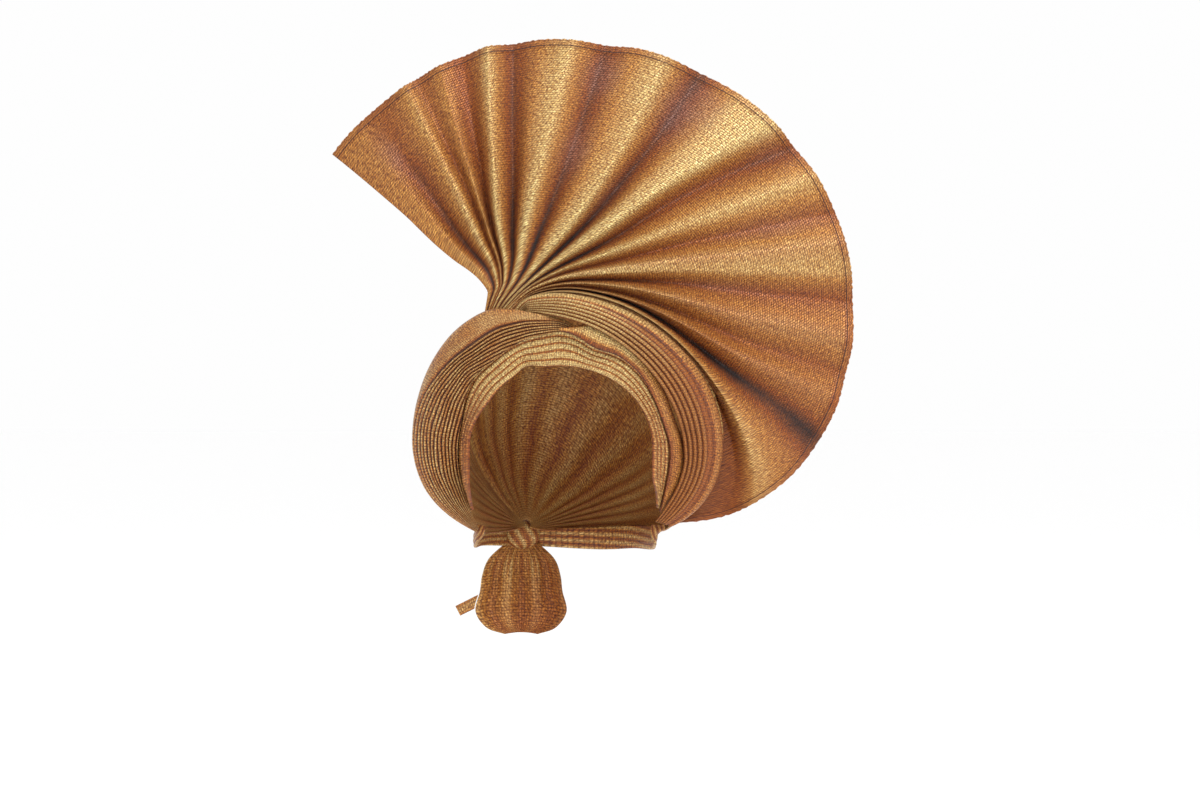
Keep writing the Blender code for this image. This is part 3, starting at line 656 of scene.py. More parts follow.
    def place(self, fold: Grid, v: Grid, root: Grid) -> tuple[Grid, Grid]:
        """Places of folds in the front view.

        Args:
            fold: One column of the table's numbers for each fold.
            v: Shares of the folds' length.
            root: Each fold's place across the pinch.

        Returns:
            X and Z, with one row for each fold.
        """
        turns = np.stack([fold[2] + self.root_step, fold[2], fold[3], fold[4], fold[5]], axis=-1)
        turn = np.radians(read_smooth(self.shares, turns, v))
        reach = fold[6][:, None] * self.reach * (v + fold[7][:, None] * v * v * (1.0 - v))
        near = np.maximum(1.0 - v / self.root_share, 0.0)
        x = self.pinch_x + reach * np.cos(turn) + self.pinch_width * (root[:, None] - 0.5) * near
        z = self.pinch_z + reach * np.sin(turn)
        return x - self.stem_in * near * near, z - self.stem_drop * near * near

    def read(self, u: Grid) -> Grid:
        """The folds at shares of the fan's width, with one row for each column of the table."""
        return read_smooth(np.arange(len(self.folds)), self.folds.T, u * (len(self.folds) - 1))

    def cut_edge(self, x: Grid, z: Grid, along: Grid) -> tuple[Grid, Grid]:
        """Cut the rim a little unevenly.

        Args:
            x: Places in the front view, across.
            z: Their heights.
            along: Shares of the folds' length.

        Returns:
            The places with the rim's small nicks.
        """
        line = np.arange(len(x))
        nibble = self.nibble * (np.sin(1.9 * line) * np.sin(0.37 * line))[:, None] * self.at_rim(along)
        away = unit(points(x - self.pinch_x, z - self.pinch_z))
        return x + away[..., 0] * nibble, z + away[..., 1] * nibble

    def tone(self, number: Grid, along: Grid, height: Grid) -> Grid:
        """Tone of the pleats, with the fan's lighter and darker parts.

        Args:
            number: Place among the folds.
            along: Shares of the folds' length.
            height: Height as a share of a full pleat.

        Returns:
            Tone from 0 in a groove to 1 on a crest.
        """
        # Painted light and shade: dark valleys and lit crests, strongest near the pinch; darker over the
        # first folds on the left, lighter over folds 16 to 20, much darker over the lowest folds
        near = 1.0 - self.off_pinch(along)
        base = 0.52 + 0.04 * near - 0.05 * self.left_folds(number) - 0.04 * self.top_folds(number)
        base = base + 0.06 * self.right_folds(number) - 0.16 * self.low_folds(number)
        return np.clip(base + (0.36 + 0.28 * near) * height, 0.0, 1.0)

    def cast(self, u: Grid, v: Grid, hemmed: Grid) -> Grid:
        """Cast of colour: orange where light passes through, violet in the glossy patches.

        Args:
            u: Shares over the folds.
            v: Shares of their length.
            hemmed: 1 on the hem, where the cloth is double.

        Returns:
            Share of the orange cast, or of the violet one below 0.
        """
        number = u * (len(self.folds) - 1)
        # Painted orange glow: each fold's cast, stronger where the fan opens and on the double hem
        cast = np.maximum(self.read(u[:, 0])[8][:, None], 0.0)
        cast = cast * (0.55 + 0.45 * self.opened(v)) + 0.35 * hemmed
        # Painted reflections: each glossy patch takes the cast below 0, towards the violet sheen
        for place, share, wide, long, strength in self.gloss:
            sheen_patch = np.exp(-(((number - place) / wide) ** 2) - ((v - share) / long) ** 2)
            cast = cast - 0.85 * strength * sheen_patch * (0.75 + 0.25 * ripple(9.0 * u, 4.0 * v, place))
        return cast

    def shell(self, u: Grid, v: Grid) -> Shell:
        """The fan's two sides.

        Args:
            u: Shares over the folds from left to right.
            v: Shares from the pinch to the rim.

        Returns:
            Both sides.
        """
        v = 1.0 - (1.0 - v) ** self.rim_detail
        across, along = u[:, 0], v[0]
        number = across * (len(self.folds) - 1)
        fold = self.read(across)
        x, z = self.place(fold, along, across)
        depth = self.depth(np.hypot(x - self.pinch_x, z - self.pinch_z))
        creased = np.interp(number, np.arange(len(self.folds)), self.folds[:, 0])
        height = (fold[0] + (creased - fold[0]) * self.crease)[:, None]
        height = height * (1.0 - (1.0 - fold[1][:, None]) * self.fading(along))
        lift = self.pleat * height * self.risen(along)
        lift = lift + self.wave * ripple(3.0 * u, 0.7 * v, 0.4) * self.opened(along)
        x, z = self.cut_edge(x, z, along)
        rim = fold[6][:, None] * self.reach * (1.0 - along)
        hemmed = Ramp(self.hem_width, self.hem_width - self.hem_bevel)(rim)
        wall = self.pinch_thickness + (self.cloth.thickness - self.pinch_thickness) * self.thinned(along)
        face = points(x, depth - lift - self.hem_height * hemmed, z)
        back = points(x, depth - lift + wall, z)
        steps = np.hypot(np.hypot(np.diff(x, axis=0), np.diff(z, axis=0)), np.diff(lift, axis=0))
        arc = np.cumsum(np.vstack([0.0 * along, steps]), axis=0)
        cloth = points(arc - arc[len(across) // 2], rim)
        tone = self.tone(number[:, None], along, height)
        return Shell(face, back, cloth, tone, self.cast(u, v, hemmed), rim)


@dataclass
class RightWrap:
    """The pleated wrap that leaves the fan's last fold and runs down to the right ear.

    The inner edge is a fold in the fan's own columns. The valleys are shares of the way in from the outer
    edge, and each crest's height is a share of a full pleat.
    """

    fan: Fan
    band: ForeheadBand
    layers: Layers
    pleat: float = 1.8 * MM
    narrow_pleat: float = 0.45
    least_facing: float = 0.45
    inner: tuple[float, ...] = (-1.0, 1.0, -3.0, -10.5, -27.0, -51.5, 0.735, 0.75, 0.0)
    valleys: tuple[float, ...] = (0.0, 0.25, 0.38, 0.51, 0.64, 0.76, 0.88, 1.0)
    crests: tuple[float, ...] = (1.0, 0.3, 0.85, 1.0, 0.9, 1.0, 1.0)
    root_spread: float = 0.6
    ear_in: float = 7 * MM
    ear_drop: float = 3 * MM
    cut_width: float = 110 * MM
    cut_length: float = 240 * MM
    drawn: Ramp = Ramp(0.78, 1.0)
    on_form: Ramp = Ramp(0.0, 0.24)
    even_crests: Ramp = Ramp(0.42, 0.25)
    lit: Ramp = Ramp(0.16, 0.85)
    deeper_groove_shade: Ramp = Ramp(0.15, 0.45)
    shade_towards_ear: Ramp = Ramp(0.25, 0.6)
    orange: Ramp = Ramp(0.3, 0.7)

    def place(self, share: Grid, v: Grid) -> tuple[Grid, Grid]:
        """Places in the front view.

        Args:
            share: Shares in from the outer edge.
            v: Shares along the wrap.

        Returns:
            X and Z, with one row for each share.
        """
        outer = self.fan.folds[-1][:, None]
        inner = np.array(self.inner)[:, None]
        fold = outer + (inner - outer) * share[None, :]
        x, z = self.fan.place(fold, v, 1.0 + self.root_spread * share)
        drawn = share[:, None] * self.drawn(v)
        return x - self.ear_in * drawn, z - self.ear_drop * drawn

    def edge_depth(self, x: Grid, z: Grid, v: Grid) -> Grid:
        """Depth of the inner side of the inner edge, which rises from the pinch onto the form.

        Args:
            x: Places of the edge in the front view, across.
            z: Their heights.
            v: Shares along the wrap.

        Returns:
            The depths there.
        """
        turn = np.degrees(np.arctan2(z, x))
        reach = np.hypot(x, z)
        facing = np.maximum(-self.band.normal(turn, reach)[..., 1], self.least_facing)
        start = self.fan.pinch_depth - self.layers.cloth.thickness
        rest = self.band.point(turn, reach)[..., 1] - self.layers.right(turn) / facing
        return start + (rest - start) * self.on_form(v)

    def base(self, share: Grid, v: Grid) -> Grid:
        """Points of the inner side.

        Args:
            share: Shares in from the outer edge.
            v: Shares along the wrap.

        Returns:
            The points, with one row for each share.
        """
        x, z = self.place(share, v)
        outer_x, outer_z = self.place(np.zeros(1), v)
        inner_x, inner_z = self.place(np.ones(1), v)
        outer = self.fan.depth(np.hypot(outer_x - self.fan.pinch_x, outer_z - self.fan.pinch_z))
        outer = outer - self.layers.cloth.thickness - self.layers.cloth.gap
        inner = self.edge_depth(inner_x, inner_z, v)
        rise = np.sqrt(np.maximum(1.0 - (1.0 - share[:, None]) ** 2, 0.0))
        return points(x, outer + (inner - outer) * rise, z)

    def shell(self, u: Grid, v: Grid) -> Shell:
        """The wrap's two sides.

        Args:
            u: Shares in from the fan.
            v: Shares from the pinch to the ear.

        Returns:
            Both sides.
        """
        across, along = u[:, 0], v[0]
        step = across * len(self.crests)
        number = np.minimum(step.astype(int), len(self.crests) - 1)
        share = np.interp(step, np.arange(len(self.valleys)), self.valleys)
        base = self.base(share, along)
        arch = np.sin(math.pi * (step - number))[:, None]
        crest = np.array(self.crests)[number][:, None]
        crest = crest + (1.0 - crest) * self.even_crests(v)
        whole = np.linalg.norm(self.base(np.ones(1), along) - self.base(np.zeros(1), along), axis=-1)
        widths = np.diff(self.valleys)[number][:, None]
        height = np.minimum(self.pleat, self.narrow_pleat * whole * widths) * arch * crest
        out = self.base(np.minimum(share + PROBE, 1.0), along)
        out = out - self.base(np.maximum(share - PROBE, 0.0), along)
        down = self.base(share, np.minimum(along + PROBE, 1.0))
        down = down - self.base(share, np.maximum(along - PROBE, 0.0))
        face = base + square_to(out, down, FRONT) * (self.layers.cloth.thickness + height)[..., None]
        cloth = points(u * self.cut_width, v * self.cut_length)
        # Painted light and shade: dark in the grooves, deeper and darker towards the ear, with low crests
        # darker and more orange
        pleat = np.abs(arch) * (0.60 + 0.40 * crest)
        tone = groove_tone(pleat, self.lit, 0.72 + 0.28 * self.deeper_groove_shade(v)) * (0.98 - 0.34 * self.shade_towards_ear(v))
        tint = 0.20 + 0.45 * self.orange(v) + 0.6 * (1.0 - crest)
        return Shell(face, base, cloth, tone, tint)


@dataclass
class TuckFold:
    """The strip tucked between the band and the right wrap."""

    band: ForeheadBand
    layers: Layers
    cover: float = 2 * MM
    width: float = 14 * MM
    first_turn: float = 90.0
    sweep: float = 124.0
    start_width: float = 0.25
    end_width: float = 0.3
    cut_stretch: float = 1.4
    cut_length: float = 200 * MM
    covered: Ramp = Ramp(0.0, 0.2)
    widened: Ramp = Ramp(0.0, 0.14)
    narrowed: Ramp = Ramp(0.88, 1.0)
    lit: Ramp = Ramp(0.1, 0.9)
    brow_light: Window = Window(Ramp(0.02, 0.12), Ramp(0.42, 0.25))
    orange: Ramp = Ramp(0.3, 0.6)

    def shell(self, u: Grid, v: Grid) -> Shell:
        """The strip's two sides.

        Args:
            u: Shares out from its lower edge.
            v: Shares from the brow to the right ear.

        Returns:
            Both sides.
        """
        turn = self.first_turn - self.sweep * v
        width = self.band.read(3, turn) * self.width + self.cover * self.covered(v)
        width = width * (self.start_width + (1.0 - self.start_width) * self.widened(v))
        width = width * (1.0 - (1.0 - self.end_width) * self.narrowed(v))
        reach = self.band.wrap_reach(turn) + width * u
        normal = self.band.normal(turn, reach)
        base = self.band.point(turn, reach) + normal * self.layers.tuck(turn)[..., None]
        crown = np.sin(math.pi * u) * (1.0 + 0.15 * ripple(u, 2.0 * v, 0.8))
        face = base + normal * (self.layers.cloth.thickness + self.layers.tuck_crown * crown)[..., None]
        cloth = points(width * u * self.cut_stretch, v * self.cut_length)
        tone = 0.18 + (0.42 + 0.30 * self.brow_light(v)) * self.lit(crown)
        return Shell(face, base, cloth, tone, 0.45 * self.orange(v))


@dataclass
class Knot:
    """The knot that rests on the gathered cloth at the nape."""

    head: HeadForm
    cloth: Cloth
    half_width: float = 15 * MM
    half_depth: float = 10 * MM
    half_height: float = 12 * MM
    groove: float = 0.10
    winds: int = 9
    turns: int = 3
    back_ease: float = 1.08
    nape: tuple[float, float, float] = (-0.41, 0.86, -0.64)
    tint: float = 0.3

    def nape_direction(self) -> Grid:
        """Direction of the nape from the head form's centre, in shares of its half sizes."""
        return unit(np.array(self.nape))

    def centre(self) -> Grid:
        """Centre of the knot, which rests on the back wrap.

        Returns:
            The point.
        """
        nape = self.head.point(self.nape_direction() * self.back_ease)
        outward = unit(nape - self.head.centre)
        rest = np.linalg.norm(outward * np.array([self.half_width, self.half_depth, self.half_height]))
        return nape + outward * (self.cloth.thickness + self.cloth.gap + rest)

    def build(self, name: str, material: bpy.types.Material) -> bpy.types.Object:
        """Make the knot from a sphere that is squashed and grooved.

        Args:
            name: Name of the object.
            material: Its finish.

        Returns:
            The knot.
        """
        bm = bmesh.new()
        bmesh.ops.create_uvsphere(bm, u_segments=96, v_segments=64, radius=1.0)
        uv_layer = bm.loops.layers.uv.new("cloth")
        layers = {key: bm.verts.layers.float.new(key) for key in ("pleat", "edge", "tint")}
        centre = Vector(self.centre())
        for vert in bm.verts:
            turn = math.atan2(vert.co.y, vert.co.x)
            wind = 0.5 + 0.5 * math.cos(self.winds * turn + 5.0 * vert.co.z)
            wide = 0.5 + 0.5 * math.cos(self.turns * turn + 2.0 * vert.co.z)
            cut = 1.0 - self.groove * (0.75 * wide + 0.25 * wind) * (1.0 - vert.co.z ** 4)
            # Painted shade deep in the winding grooves, lighter between them
            vert[layers["pleat"]] = 0.25 + 0.7 * (1.0 - wind)
            vert[layers["edge"]] = NO_HEM
            vert[layers["tint"]] = self.tint
            vert.co = Vector((vert.co.x * self.half_width * cut, vert.co.y * self.half_depth * cut,
                              vert.co.z * self.half_height)) + centre
        for bm_face in bm.faces:
            for loop in bm_face.loops:
                place = loop.vert.co - centre
                loop[uv_layer].uv = (math.atan2(place.y, place.x) * self.half_width, place.z)
        return add_piece(name, bm, material)


@dataclass
class BackWrap:
    """The cloth over the crown and back of the head, gathered at the nape.

    The front edge runs from the left ear up to the pinch in the first half of its length, and down the
    fan's last fold to the right ear in the second.
    """

    left: LeftWrap
    fan: Fan
    knot: Knot
    inset: float = 1.8 * MM
    underlap: float = 8 * MM
    fan_overlap: float = 2 * MM
    fan_behind: float = 3 * MM
    ear_inset: float = 4 * MM
    left_part: float = 0.72
    stem_part: float = 0.03
    even: float = 0.015
    broad: float = 0.16
    close: float = 0.98
    raise_share: float = 0.92
    soften: float = 0.08
    pleat: float = 1.7 * MM
    pleat_count: int = 24
    wander: float = 0.006
    slack: float = 1.2 * MM
    cut_width: float = 520 * MM
    cut_length: float = 200 * MM
    past_stem: Ramp = Ramp(0.35, 0.15)
    behind_fan: Ramp = Ramp(0.2, 0.5)
    near_ear: Ramp = Ramp(0.6, 0.9)
    gathered: Window = Window(Ramp(0.02, 0.7), Ramp(1.0, 0.85))
    loose: Ramp = Ramp(0.1, 0.4)

    def rim(self, u: Grid) -> Grid:
        """Front edge, inside the left wrap's back edge and behind the fan's last fold.

        Args:
            u: Shares of the edge's length.

        Returns:
            The points.
        """
        v = 1.0 - self.left_part * np.clip(2.0 * u, 0.0, 1.0)
        curl = spread(self.left.stations, 4, v)
        near = self.left.base(v, np.full_like(v, 2.0))
        inward = unit(near * np.array([1.0, 0.0, 1.0]))
        near = near - inward * (self.inset * (0.4 + 0.6 * curl))[..., None]
        near = near - points(0.0, self.underlap * curl, 0.0)
        w = self.stem_part + (1.0 - self.stem_part) * np.clip(2.0 * u - 1.0, 0.0, 1.0)
        x, z = self.fan.place(self.fan.folds[-1][:, None], w, np.ones(1))
        x, z = x[0], z[0]
        behind = (self.fan.pinch_thickness + 2 * self.fan.cloth.thickness) * self.past_stem(w)
        depth = self.fan.depth(np.hypot(x - self.fan.pinch_x, z - self.fan.pinch_z))
        depth = depth + behind - self.fan.cloth.thickness + self.fan_behind * self.behind_fan(w)
        outward = unit(points(x, 0.0, z))
        overlap = self.fan_overlap - self.ear_inset * self.near_ear(w)
        far = points(x, depth, z) + outward * overlap[..., None]
        return np.where((u < 0.5)[..., None], near, far)

    def even_rim(self, u: Grid, width: float) -> Grid:
        """The front edge evened out.

        Args:
            u: Shares of the edge's length.
            width: Share of the length that is evened to either side.

        Returns:
            The points, in shares of the head's half sizes.
        """
        rims = [self.rim(np.clip(u + width * side, 0.0, 1.0)) for side in (-1.0, -0.5, 0.0, 0.5, 1.0)]
        return self.left.band.head.share(sum(rims) / len(rims))

    def base(self, u: Grid, v: Grid) -> Grid:
        """Points of the inner side, on ways over the head that don't dip under their own ends.

        Args:
            u: Shares round the front edge.
            v: Shares from there to the nape.

        Returns:
            The points, with one row for each u and one column for each v.
        """
        start = self.even_rim(u, self.even)
        size = np.linalg.norm(start, axis=-1)[:, None]
        wide = np.linalg.norm(self.even_rim(u, self.broad), axis=-1)[:, None]
        ease = self.knot.back_ease
        near = (size - ease) * (1.0 - v) ** 6
        far = (wide - ease) * ((1.0 - v) ** 1.5 - (1.0 - v) ** 6)
        scale = ease + near + far
        first = start / size
        nape = self.knot.nape_direction()
        angle = np.arccos(np.clip(first @ nape, -1.0, 1.0))[:, None]
        share = v * self.close
        way = (np.sin((1.0 - share) * angle) / np.sin(angle))[..., None] * first[:, None, :]
        way = way + (np.sin(share * angle) / np.sin(angle))[..., None] * nape
        level = first[:, None, 2] + (nape[2] - first[:, None, 2]) * v
        dip = np.maximum(level - way[..., 2], 0.0)
        height = way[..., 2] + self.raise_share * dip * dip / (dip + self.soften)
        flat = np.sqrt(1.0 - height * height) / np.hypot(way[..., 0], way[..., 1])
        way = points(way[..., 0] * flat, way[..., 1] * flat, height)
        return self.left.band.head.point(way * scale[..., None])

    def shell(self, u: Grid, v: Grid) -> Shell:
        """The wrap's two sides.

        Args:
            u: Shares round the front edge.
            v: Shares from there to the nape.

        Returns:
            Both sides.
        """
        base = self.base(u[:, 0], v[0])
        outward = unit(base - self.left.band.head.centre)
        wander = u + self.wander * ripple(u, 1.4 * v, 0.2) * np.sin(math.pi * u)
        pleat = rounded_pleats(wander, self.pleat_count)
        grown = self.gathered(v)
        slack = self.slack * ripple(2.0 * u, 1.2 * v, 0.9) * np.sin(math.pi * v) * np.sin(math.pi * u)
        slack = np.maximum(slack * self.loose(v), 0.0)
        height = self.pleat * pleat * grown
        face = base + outward * (self.fan.cloth.thickness + height + slack)[..., None]
        back = base + outward * (0.6 * height)[..., None]
        cloth = points(u * self.cut_width, v * self.cut_length)
        # Painted shade in the grooves, as deep as the cloth is gathered
        tone = 0.72 - 0.45 * (1.0 - pleat) * grown
        return Shell(face, back, cloth, tone, 0.2 + 0.3 * ripple(u, v, 0.5))


@dataclass
class EarTie:
    """A tie from an ear to the knot.

    Each station holds a place as shares of the head form's half sizes, and half the tie's width as a
    share of the widest. The side is 1 on the right and -1 on the left.
    """

    knot: Knot
    stations: tuple[tuple[float, float, float, float], ...]
    side: float
    rest: float
    half_width: float = 10.5 * MM
    thickness: float = 3 * MM
    at_knot: float = 0.62
    at_knot_drop: float = 3 * MM
    tuck_in: float = 7 * MM
    creases: int = 3
    crease: float = 0.45 * MM
    twist: float = 0.55
    sag: float = 0.5 * MM
    front_turn: float = 2.2
    cut_width: float = 20 * MM
    cut_length: float = 120 * MM
    turned: Ramp = Ramp(0.32, 0.06)
    thickened: Ramp = Ramp(0.0, 0.12)
    lit: Ramp = Ramp(0.30, 1.0)
    out_of_shade: Ramp = Ramp(0.0, 0.2)

    def rows(self) -> Grid:
        """The stations and the last one, beside the knot.

        Returns:
            The stations in rows.
        """
        aside = self.side * (self.knot.half_width + self.rest - self.tuck_in)
        beside = self.knot.centre() + np.array([aside, 0.0, -self.at_knot_drop])
        return np.vstack([self.stations, [*self.knot.head.share(beside), self.at_knot]])

    def middle(self, v: Grid) -> Grid:
        """Points of the tie's middle line.

        Args:
            v: Shares from the ear to the knot.

        Returns:
            The points.
        """
        rows = self.rows()
        middle = self.knot.head.point(points(*(spread(rows, column, v) for column in range(3))))
        return middle - points(0.0, 0.0, self.sag * np.sin(math.pi * np.clip(1.4 * v - 0.4, 0.0, 1.0)))

    def shell(self, u: Grid, v: Grid) -> Shell:
        """The tie's two sides.

        Args:
            u: Shares up over its width.
            v: Shares from the ear to the knot.

        Returns:
            Both sides.
        """
        middle = self.middle(v)
        along = unit(self.middle(np.minimum(v + PROBE, 1.0)) - self.middle(np.maximum(v - PROBE, 0.0)))
        outward = unit(middle * np.array([1.0, 1.0, 0.0]))
        outward = unit(outward - points(0.0, self.front_turn * self.turned(v), 0.0))
        across = unit(np.cross(along, outward)) * self.side
        out = square_to(across, along, outward)
        place = 2.0 * u - 1.0
        half = spread(self.rows(), 3, v) * self.half_width
        wall = self.thickness * np.sqrt(1.0 - 0.8 * place * place) * (0.35 + 0.65 * self.thickened(v))
        crease = rounded_pleats(u + self.twist * v + 0.06 * np.sin(9.0 * v), self.creases)
        base = middle + across * (half * place)[..., None]
        face = base + out * (0.5 * wall - self.crease * (1.0 - crease))[..., None]
        back = base - out * (0.5 * wall)[..., None]
        cloth = points(u * self.cut_width, v * self.cut_length)
        tone = (0.2 + 0.62 * groove_tone(crease, self.lit)) * (0.75 + 0.25 * self.out_of_shade(v))
        return Shell(face, back, cloth, tone, 0.2)


# Stations of the two ties, from under the wraps at the ear back towards the nape
LEFT_TIE = ((-0.82, -0.13, -0.55, 0.42), (-0.83, -0.11, -0.62, 0.46), (-0.86, 0.02, -0.672, 0.50),
            (-0.88, 0.25, -0.690, 0.58), (-0.82, 0.55, -0.690, 0.60))
RIGHT_TIE = ((0.96, -0.13, -0.55, 0.50), (0.95, -0.11, -0.61, 0.56), (0.93, -0.02, -0.660, 0.64),
             (0.90, 0.17, -0.672, 0.82), (0.73, 0.55, -0.685, 0.82), (0.36, 0.84, -0.718, 0.80))


@dataclass
class Tail:
    """The leaf-shaped tail under the knot, and the loose end that stands out from its left edge.

    Each row of the outline holds a share of the drop, and half the width there as a share of the widest.
    """

    knot: Knot
    drop: float = 61 * MM
    half_width: float = 34 * MM
    thickness: float = 2 * MM
    fold: float = 3 * MM
    folds: float = 3.0
    swing: float = 0.22
    round_share: float = 0.25
    edge_rise: float = 0.1
    gather: float = 0.7 * MM
    gathers: float = 11.0
    puff: float = 1.0 * MM
    uneven: float = 0.4 * MM
    tuck_in: float = 6 * MM
    end_length: float = 16 * MM
    end_half_width: float = 4 * MM
    end_thickness: float = 1.6 * MM
    end_swell: float = 0.3 * MM
    end_drop: float = 0.58
    end_fall: float = math.radians(27)
    hanging: Window = Window(Ramp(0.0, 0.4), Ramp(1.02, 0.6))
    gathered: Ramp = Ramp(0.55, 0.05)
    gather_lines: Ramp = Ramp(0.6, 0.1)
    fold_light: Ramp = Ramp(0.0, 0.3)
    orange: Ramp = Ramp(0.7, 1.5)
    outline: Grid = field(default_factory=lambda: np.array([
        (0.0, 0.34), (0.14, 0.72), (0.30, 0.86), (0.48, 0.91), (0.70, 1.0), (0.90, 0.76), (1.0, 0.36)]))

    def place(self, side: Grid, v: Grid) -> Grid:
        """Points of the inner side.

        Args:
            side: Places over the width, from -1 to 1.
            v: Shares down the tail.

        Returns:
            The points.
        """
        top = self.knot.centre()
        half = spread(self.outline, 1, v) * self.half_width
        drop = spread(self.outline, 0, v) * self.drop
        fold = self.fold * np.cos(self.folds * math.pi * side) * self.hanging(v)
        fold = fold + self.gather * np.cos(self.gathers * math.pi * side) * self.gathered(v)
        depth = top[1] - self.swing * drop - self.round_share * half * side * side + fold
        height = top[2] - self.knot.half_height - self.knot.cloth.gap - drop
        height = height - self.edge_rise * half * side * side * v + self.tuck_in * (1.0 - v) ** 4
        return points(top[0] + side * half, depth, height)

    def shell(self, u: Grid, v: Grid) -> Shell:
        """The tail's two sides.

        Args:
            u: Shares over its width.
            v: Shares down from the knot.

        Returns:
            Both sides.
        """
        side = 2.0 * u - 1.0
        base = self.place(side, v)
        puff = self.puff * np.cos(0.5 * math.pi * side) + self.uneven * ripple(u, v, 0.1)
        front = base - points(0.0, np.maximum(puff, 0.0), 0.0)
        back = base + points(0.0, self.thickness, 0.0)
        cloth = points(side * self.half_width, v * self.drop)
        gathers = np.cos(self.gathers * math.pi * side) * self.gather_lines(v)
        tone = 0.56 - (0.16 * np.cos(self.folds * math.pi * side) + 0.2 * gathers) * self.fold_light(v)
        return Shell(front, back, cloth, tone, 0.15 + 0.75 * self.orange(u + v))

    def end_shell(self, u: Grid, v: Grid) -> Shell:
        """The loose end's two sides.

        Args:
            u: Shares over its width.
            v: Shares out from the tail's left edge.

        Returns:
            Both sides.
        """
        out = np.array([-math.cos(self.end_fall), 0.0, -math.sin(self.end_fall)])
        up = np.array([-math.sin(self.end_fall), 0.0, math.cos(self.end_fall)])
        lift = up * (self.end_half_width * (2.0 * u - 1.0))[..., None]
        root = self.place(-np.ones_like(u), self.end_drop - lift[..., 2] / self.drop)
        root = root + out * 2.0 * self.knot.cloth.gap
        tip = self.place(-np.ones_like(u), np.full_like(u, self.end_drop)) + out * self.end_length + lift
        base = root + (tip - root) * v[..., None]
        swell = np.sin(math.pi * u)
        face = base - points(0.0, self.end_swell * swell, 0.0)
        back = base + points(0.0, self.end_thickness, 0.0)
        cloth = points(u * 2.0 * self.end_half_width, v * self.end_length)
        # Painted highlight along the swelled middle of the end
        return Shell(face, back, cloth, 0.5 + 0.3 * swell, 0.5)


def add_piece(name: str, bm: bmesh.types.BMesh, material: bpy.types.Material) -> bpy.types.Object:
    """Turn a bmesh into a smooth object with its finish, and free it.

    Args:
        name: Name of the object.
        bm: Its shape.
        material: Its finish.

    Returns:
        The object.
    """
    mesh = bpy.data.meshes.new(name)
    bm.to_mesh(mesh)
    bm.free()
    mesh.shade_smooth()
    mesh.materials.append(material)
    thing = bpy.data.objects.new(name, mesh)
    bpy.context.scene.collection.objects.link(thing)
    return thing


@dataclass(frozen=True)
class Sheet:
    """How finely a sheet is drawn, and how its cloth was cut and held.

    Attributes:
        name: Name of the piece.
        node: Solid that it stands for.
        slot: Material slot of that solid; not used.
        segments: Segments of its grid, across and along.
        flat: Width and length of the cut cloth; not used.
        held: How it is held; not used.
        rests_on: What it lies on or hangs from; not used.
        area: Area of the cut cloth, where a gathering narrows it at one end; not used.
    """

    name: str
    node: str
    slot: str
    segments: tuple[int, int]
    flat: tuple[float, float]
    held: Held
    rests_on: str
    area: float | None = None

    def build(self, surface: Callable[[Grid, Grid], Shell], material: bpy.types.Material) -> None:
        """Bend a grid into a closed cloth wall, with its places on the cut cloth as a UV map.

        Args:
            surface: Gives both sides of the piece over a grid of shares.
            material: Its finish.
        """
        across, along = self.segments
        shares = [np.linspace(0.0, 1.0, count + 1) for count in self.segments]
        u, v = np.meshgrid(*shares, indexing="ij")
        shell = surface(u, v)
        bm = bmesh.new()
        uv_layer = bm.loops.layers.uv.new("cloth")
        values = {bm.verts.layers.float.new(key): np.broadcast_to(getattr(shell, key), u.shape)
                  for key in ("pleat", "edge", "tint")}
        bmesh.ops.create_grid(bm, x_segments=across, y_segments=along, size=0.5)
        grown = bmesh.ops.extrude_face_region(bm, geom=list(bm.faces))
        raised = {item for item in grown["geom"] if isinstance(item, bmesh.types.BMVert)}
        places = {}
        for vert in bm.verts:
            place = (round((vert.co.x + 0.5) * across), round((vert.co.y + 0.5) * along))
            places[vert] = place
            vert.co = shell.face[place] if vert in raised else shell.back[place]
            for layer, value in values.items():
                vert[layer] = value[place]
        for bm_face in bm.faces:
            for loop in bm_face.loops:
                loop[uv_layer].uv = shell.cloth[places[loop.vert]]
        bmesh.ops.recalc_face_normals(bm, faces=bm.faces)
        if bm.calc_volume(signed=True) < 0:
            bmesh.ops.reverse_faces(bm, faces=bm.faces)
        thing = add_piece(self.name, bm, material)
        dress(thing, self.node)


def dress(thing: bpy.types.Object, node: str) -> None:
    """Tie a piece to its solid, and report it.

    Args:
        thing: The piece.
        node: Solid that it stands for.
    """
    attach(thing, "root")
    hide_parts(node)
    LOG.info("%s has %d faces", thing.name, len(thing.data.polygons))


def linear(code: str) -> tuple[float, float, float, float]:
    """Turn an sRGB hex colour into linear values.

    Args:
        code: The colour, such as #FFFFFF.

    Returns:
        Red, green and blue, with an alpha of 1.
    """
    parts = [int(code[i:i + 2], 16) / 255.0 for i in (1, 3, 5)]
    values = [p / 12.92 if p <= 0.04045 else ((p + 0.055) / 1.055) ** 2.4 for p in parts]
    return (values[0], values[1], values[2], 1.0)


def add_node(tree: bpy.types.NodeTree, kind: str, settings: dict[str | int, object]) -> bpy.types.Node:
    """Add a node with its settings and links.

    Args:
        tree: Tree that takes the node.
        kind: Blender's name of the node's type.
        settings: Attributes of the node, and values of its inputs or sockets that feed them, by name or
            number.

    Returns:
        The node.
    """
    node = tree.nodes.new(kind)
    for key, value in settings.items():
        if isinstance(value, bpy.types.NodeSocket):
            tree.links.new(value, node.inputs[key])
        elif isinstance(key, str) and hasattr(node, key):
            setattr(node, key, value)
        else:
            node.inputs[key].default_value = value
    return node


